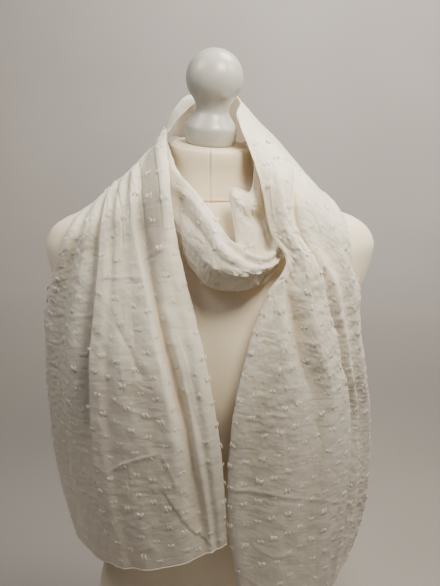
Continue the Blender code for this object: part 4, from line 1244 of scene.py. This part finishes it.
def ramp(material, factor, stops):
    """A colour ramp with the given (place, colour) stops."""
    item = add_node(material, "ShaderNodeValToRGB")
    elements = item.color_ramp.elements
    while len(elements) < len(stops):
        elements.new(0.5)
    for element, (place, colour) in zip(elements, stops):
        element.position = place
        element.color = (*colour, 1.0)
    link(material, factor, item.inputs["Fac"])
    return item.outputs["Color"]


def main_shader(material, colour, normal, values):
    """The shader of a surface: its colour, its bumped normal and its own values."""
    shader = add_node(material, "ShaderNodeBsdfPrincipled", values)
    link(material, colour, shader.inputs["Base Color"])
    if normal:
        link(material, normal, shader.inputs["Normal"])
    return shader


def lit_through(material, output, front, tint, share):
    """Mixes a share of light from behind the cloth into its shader, and gives that light's node."""
    through = add_node(material, "ShaderNodeBsdfTranslucent", {"Color": (*tint, 1.0)})
    both = add_node(material, "ShaderNodeMixShader", {"Fac": share})
    link(material, front.outputs["BSDF"], both.inputs[1])
    link(material, through.outputs["BSDF"], both.inputs[2])
    link(material, both.outputs["Shader"], output.inputs["Surface"])
    return through


def chiffon_finish():
    """Sheer ivory chiffon: a crepe weave, fine crinkle, and light that comes through from behind.
    Painted warm shade is mixed into its colour in the hollows of the folds, for light that has
    passed more cloth, and painted grey shade where one layer hangs with nothing behind it."""
    material, output = start_material("ivory_chiffon_crepe")
    place = add_node(material, "ShaderNodeTexCoord").outputs["UV"]
    cross_wrinkles = stretched_noise(material, place, (45, 210, 1), 3.0, roughness=0.55, distortion=0.6)
    crumple = stretched_noise(material, place, (240, 240, 1), 2.0, distortion=0.8)
    weft, warp = (bands(material, place, direction, 560.0, 1.2, 2.0) for direction in ("X", "Y"))
    normal = bumped(material, cross_wrinkles, 0.0009, 0.55)
    normal = bumped(material, crumple, 0.0005, 0.45, normal)
    normal = bumped(material, combined(material, "MULTIPLY", weft, warp), 0.00015, 0.25, normal)
    cloudy = stretched_noise(material, place, (14, 14, 1), 3.0)
    colour = ramp(material, cloudy, ((0.30, (0.92, 0.87, 0.80)), (0.70, (0.95, 0.91, 0.845))))
    # Painted warm shade, deeper in the hollows of the folds
    painted_hollow_shade = remapped(material, point_value(material, "hollow"), (0.0, 1.0), (0.0, 0.55))
    colour = tinted(material, colour, painted_hollow_shade, (0.90, 0.76, 0.53))
    # Painted shade: grey mixed into the colour over the patches of painted shade
    colour = tinted(material, colour, point_value(material, "sheer"), (0.48, 0.45, 0.42))
    front = main_shader(material, colour, normal,
                        {"Roughness": 0.78, "Sheen Weight": 0.25, "Sheen Roughness": 0.45,
                         "Specular IOR Level": 0.25})
    through = lit_through(material, output, front, (0.95, 0.88, 0.74), 0.32)
    link(material, normal, through.inputs["Normal"])
    return material


def yarn_finish():
    """Soft white cut yarn, fuzzier and brighter than the cloth."""
    material, output = start_material("white_cut_yarn")
    place = add_node(material, "ShaderNodeTexCoord").outputs["Object"]
    fibres = stretched_noise(material, place, (1500, 1500, 400), 2.0)
    normal = bumped(material, fibres, 0.0004, 0.8)
    colour = ramp(material, fibres, ((0.25, (0.93, 0.90, 0.84)), (0.75, (0.98, 0.96, 0.91))))
    front = main_shader(material, colour, normal,
                        {"Roughness": 0.9, "Sheen Weight": 0.3, "Sheen Roughness": 0.5,
                         "Specular IOR Level": 0.15})
    lit_through(material, output, front, (0.96, 0.92, 0.84), 0.40)
    return material


def jersey_finish():
    """Cream stretch jersey: a fine rib of knit stitches and a soft nap, with painted shade that makes
    the neck darker, and a warm tint beside its seam, partly its thread and partly painted shade."""
    material, output = start_material("cream_stretch_jersey")
    place = add_node(material, "ShaderNodeTexCoord").outputs["Object"]
    ribs = bands(material, place, "X", 330.0, 1.5, 3.0)
    courses = bands(material, place, "Z", 420.0, 1.5, 3.0)
    nap = stretched_noise(material, place, (420, 420, 420), 3.0)
    normal = bumped(material, combined(material, "ADD", ribs, courses), 0.0001, 0.3)
    normal = bumped(material, nap, 0.0003, 0.15, normal)
    cloudy = stretched_noise(material, place, (9, 9, 9), 3.0)
    colour = ramp(material, cloudy, ((0.30, (0.76, 0.655, 0.505)), (0.72, (0.82, 0.725, 0.58))))
    split = add_node(material, "ShaderNodeSeparateXYZ")
    link(material, place, split.inputs["Vector"])
    height = split.outputs["Z"]
    neck_starts, neck_ends = NECK_SEAM_HEIGHT, NECK_SEAM_HEIGHT + NECK_SHADE_CHANGE
    # Painted shade: the neck's cover is made darker above its seam
    on_neck = remapped(material, height, (neck_starts, neck_ends), (0.0, 0.95))
    colour = tinted(material, colour, on_neck, (0.62, 0.53, 0.40))
    # A warm tint beside the neck's seam: partly the seam's thread, partly painted warm shade in its furrow
    off_seam = combined(material, "ABSOLUTE", combined(material, "SUBTRACT", height, NECK_SEAM_HEIGHT))
    seam_thread_and_shade = remapped(material, off_seam, (0.0, SEAM_TINT), (0.55, 0.0))
    colour = tinted(material, colour, seam_thread_and_shade, (0.80, 0.55, 0.36))
    shader = main_shader(material, colour, normal,
                         {"Roughness": 0.82, "Sheen Weight": 0.15, "Sheen Roughness": 0.5,
                          "Specular IOR Level": 0.3})
    link(material, shader.outputs["BSDF"], output.inputs["Surface"])
    return material


def plastic_finish():
    """Satin white moulded plastic with a faint waviness and a grain in its gloss."""
    material, output = start_material("satin_white_plastic")
    place = add_node(material, "ShaderNodeTexCoord").outputs["Object"]
    waviness = stretched_noise(material, place, (60, 60, 60), 2.0)
    grain = stretched_noise(material, place, (900, 900, 900), 2.0)
    normal = bumped(material, waviness, 0.0004, 0.15)
    normal = bumped(material, grain, 0.00005, 0.2, normal)
    colour = ramp(material, waviness, ((0.3, (0.38, 0.37, 0.36)), (0.7, (0.41, 0.40, 0.39))))
    shader = main_shader(material, colour, normal, {"Coat Weight": 0.1, "Coat Roughness": 0.2})
    link(material, remapped(material, grain, (0.0, 1.0), (0.26, 0.40)), shader.inputs["Roughness"])
    link(material, shader.outputs["BSDF"], output.inputs["Surface"])
    return material


def floor_finish():
    """Plain pale grey studio floor."""
    material, output = start_material("pale_floor")
    place = add_node(material, "ShaderNodeTexCoord").outputs["Object"]
    colour = ramp(material, stretched_noise(material, place, (2, 2, 2), 2.0),
                  ((0.3, (0.395, 0.372, 0.345)), (0.7, (0.42, 0.397, 0.368))))
    shader = main_shader(material, colour, None, {"Roughness": 0.9})
    link(material, shader.outputs["BSDF"], output.inputs["Surface"])
    return material


# ---------------------------------------------------------------- studio

FLOOR_RINGS = (0.02, 0.6, 1.2)     # reaches of the rings of the flat floor
FLOOR_RADIUS = 1.8         # where it begins to rise
FLOOR_FACETS = 72
BEND_ROWS = 16             # from the flat floor to the upright wall
WALL_RADIUS = 3.2
WALL_HEIGHT = 3.0
CAMERA_DISTANCE = 0.846
CAMERA_HEIGHT = 0.765
CAMERA_TILT = math.radians(74)
FRAME_PIXELS = 586         # height of the frame
FOCAL_PIXELS = 700         # focal length
SENSOR_SIZE = 36.0         # the same height in millimetres
AXIS_PIXELS = 10           # the form's axis is this far left of the frame's middle
AIR_COLOUR = (1.0, 0.96, 0.90)
AIR_STRENGTH = 0.02
FORM_MIDDLE = (0.0, 0.0, 0.5)
WALL_MIDDLE = (0.65, 3.2, 1.55)      # above the part of the wall that the camera sees

# A round soft lamp: where it is and aims, its diameter, its power in watts and its colour
Lamp = namedtuple("Lamp", "name place aim size power colour")
LAMPS = (
    Lamp("key", (0.23, -0.36, 1.12), FORM_MIDDLE, 0.25, 7.7, (1.0, 0.93, 0.72)),
    Lamp("top_back", (0.28, 0.15, 1.27), FORM_MIDDLE, 0.30, 6.8, (1.0, 0.95, 0.89)),
    Lamp("left_top", (-0.56, -0.22, 1.30), FORM_MIDDLE, 0.45, 4.9, (1.0, 0.98, 0.88)),
    Lamp("front", (0.0, -1.50, 1.60), FORM_MIDDLE, 0.80, 1.8, (0.68, 0.68, 1.0)),
    Lamp("right_top", (0.72, -0.12, 1.20), FORM_MIDDLE, 0.40, 5.0, (1.0, 0.95, 0.90)),
    Lamp("wall", (0.40, 1.55, 2.30), WALL_MIDDLE, 1.00, 86.0, (1.0, 0.94, 0.88)),
)


def add_stage():
    """A round floor that curves up into a wall all round, so that no edge of it shows: a line
    that runs level, then along a quarter of a circle and then up, carried round. It faces in."""
    turn = np.linspace(0, math.pi / 2, BEND_ROWS)
    bend = WALL_RADIUS - FLOOR_RADIUS
    radius = np.concatenate([FLOOR_RINGS, FLOOR_RADIUS + bend * np.sin(turn), [WALL_RADIUS]])
    height = np.concatenate([np.zeros(len(FLOOR_RINGS)), bend * (1 - np.cos(turn)), [WALL_HEIGHT]])
    faces = grid_faces(len(radius), FLOOR_FACETS, closed=True)[:, ::-1].tolist()
    faces.append(list(range(FLOOR_FACETS)))
    mesh = make_mesh("studio_floor", turned(radius, height, FLOOR_FACETS), faces)
    floor = bpy.data.objects.new("studio_floor", mesh)
    bpy.context.scene.collection.objects.link(floor)
    mesh.materials.append(floor_finish())


def add_lights():
    """Round soft lamps above the form and one on the wall, and a faint light from all round."""
    for row in LAMPS:
        lamp = bpy.data.lights.new(row.name, "AREA")
        lamp.shape = "DISK"
        lamp.size = row.size
        lamp.energy = row.power
        lamp.color = row.colour
        holder = bpy.data.objects.new(row.name, lamp)
        holder.location = row.place
        x, y, z = np.array(row.aim) - np.array(row.place)
        holder.rotation_euler = (math.atan2(math.hypot(x, y), -z), 0, math.atan2(-x, y))
        bpy.context.scene.collection.objects.link(holder)
    world = bpy.data.worlds.new("studio_air")
    world.use_nodes = True
    air = world.node_tree.nodes["Background"]
    air.inputs["Color"].default_value = (*AIR_COLOUR, 1.0)
    air.inputs["Strength"].default_value = AIR_STRENGTH
    bpy.context.scene.world = world


def add_camera():
    """The camera, level with the top of the form and tilted down at it."""
    lens = bpy.data.cameras.new("camera")
    lens.sensor_width = SENSOR_SIZE
    lens.lens = SENSOR_SIZE * FOCAL_PIXELS / FRAME_PIXELS
    lens.clip_start = 0.05
    camera = bpy.data.objects.new("camera", lens)
    camera.location = (0, -CAMERA_DISTANCE, CAMERA_HEIGHT)
    camera.rotation_euler = (CAMERA_TILT, 0, -math.atan(AXIS_PIXELS / FOCAL_PIXELS))
    bpy.context.scene.collection.objects.link(camera)
    bpy.context.scene.camera = camera


def main():
    """The studio, the form and the scarf."""
    add_camera()
    add_lights()
    add_stage()
    add_form_cover(jersey_finish())
    add_cap(plastic_finish())
    chiffon = chiffon_finish()
    yarn = yarn_finish()
    for index, stretch in enumerate(STRETCHES):
        seeds = index * SEED_STEP
        cloth = make_cloth(stretch, CLOTH_SEED + seeds)
        shell = add_shell(stretch, cloth, chiffon)
        hems = add_hems(stretch, cloth, chiffon, HEM_SEED + seeds)
        spots = add_spots(stretch, cloth, yarn, SPOT_SEED + seeds)


main()
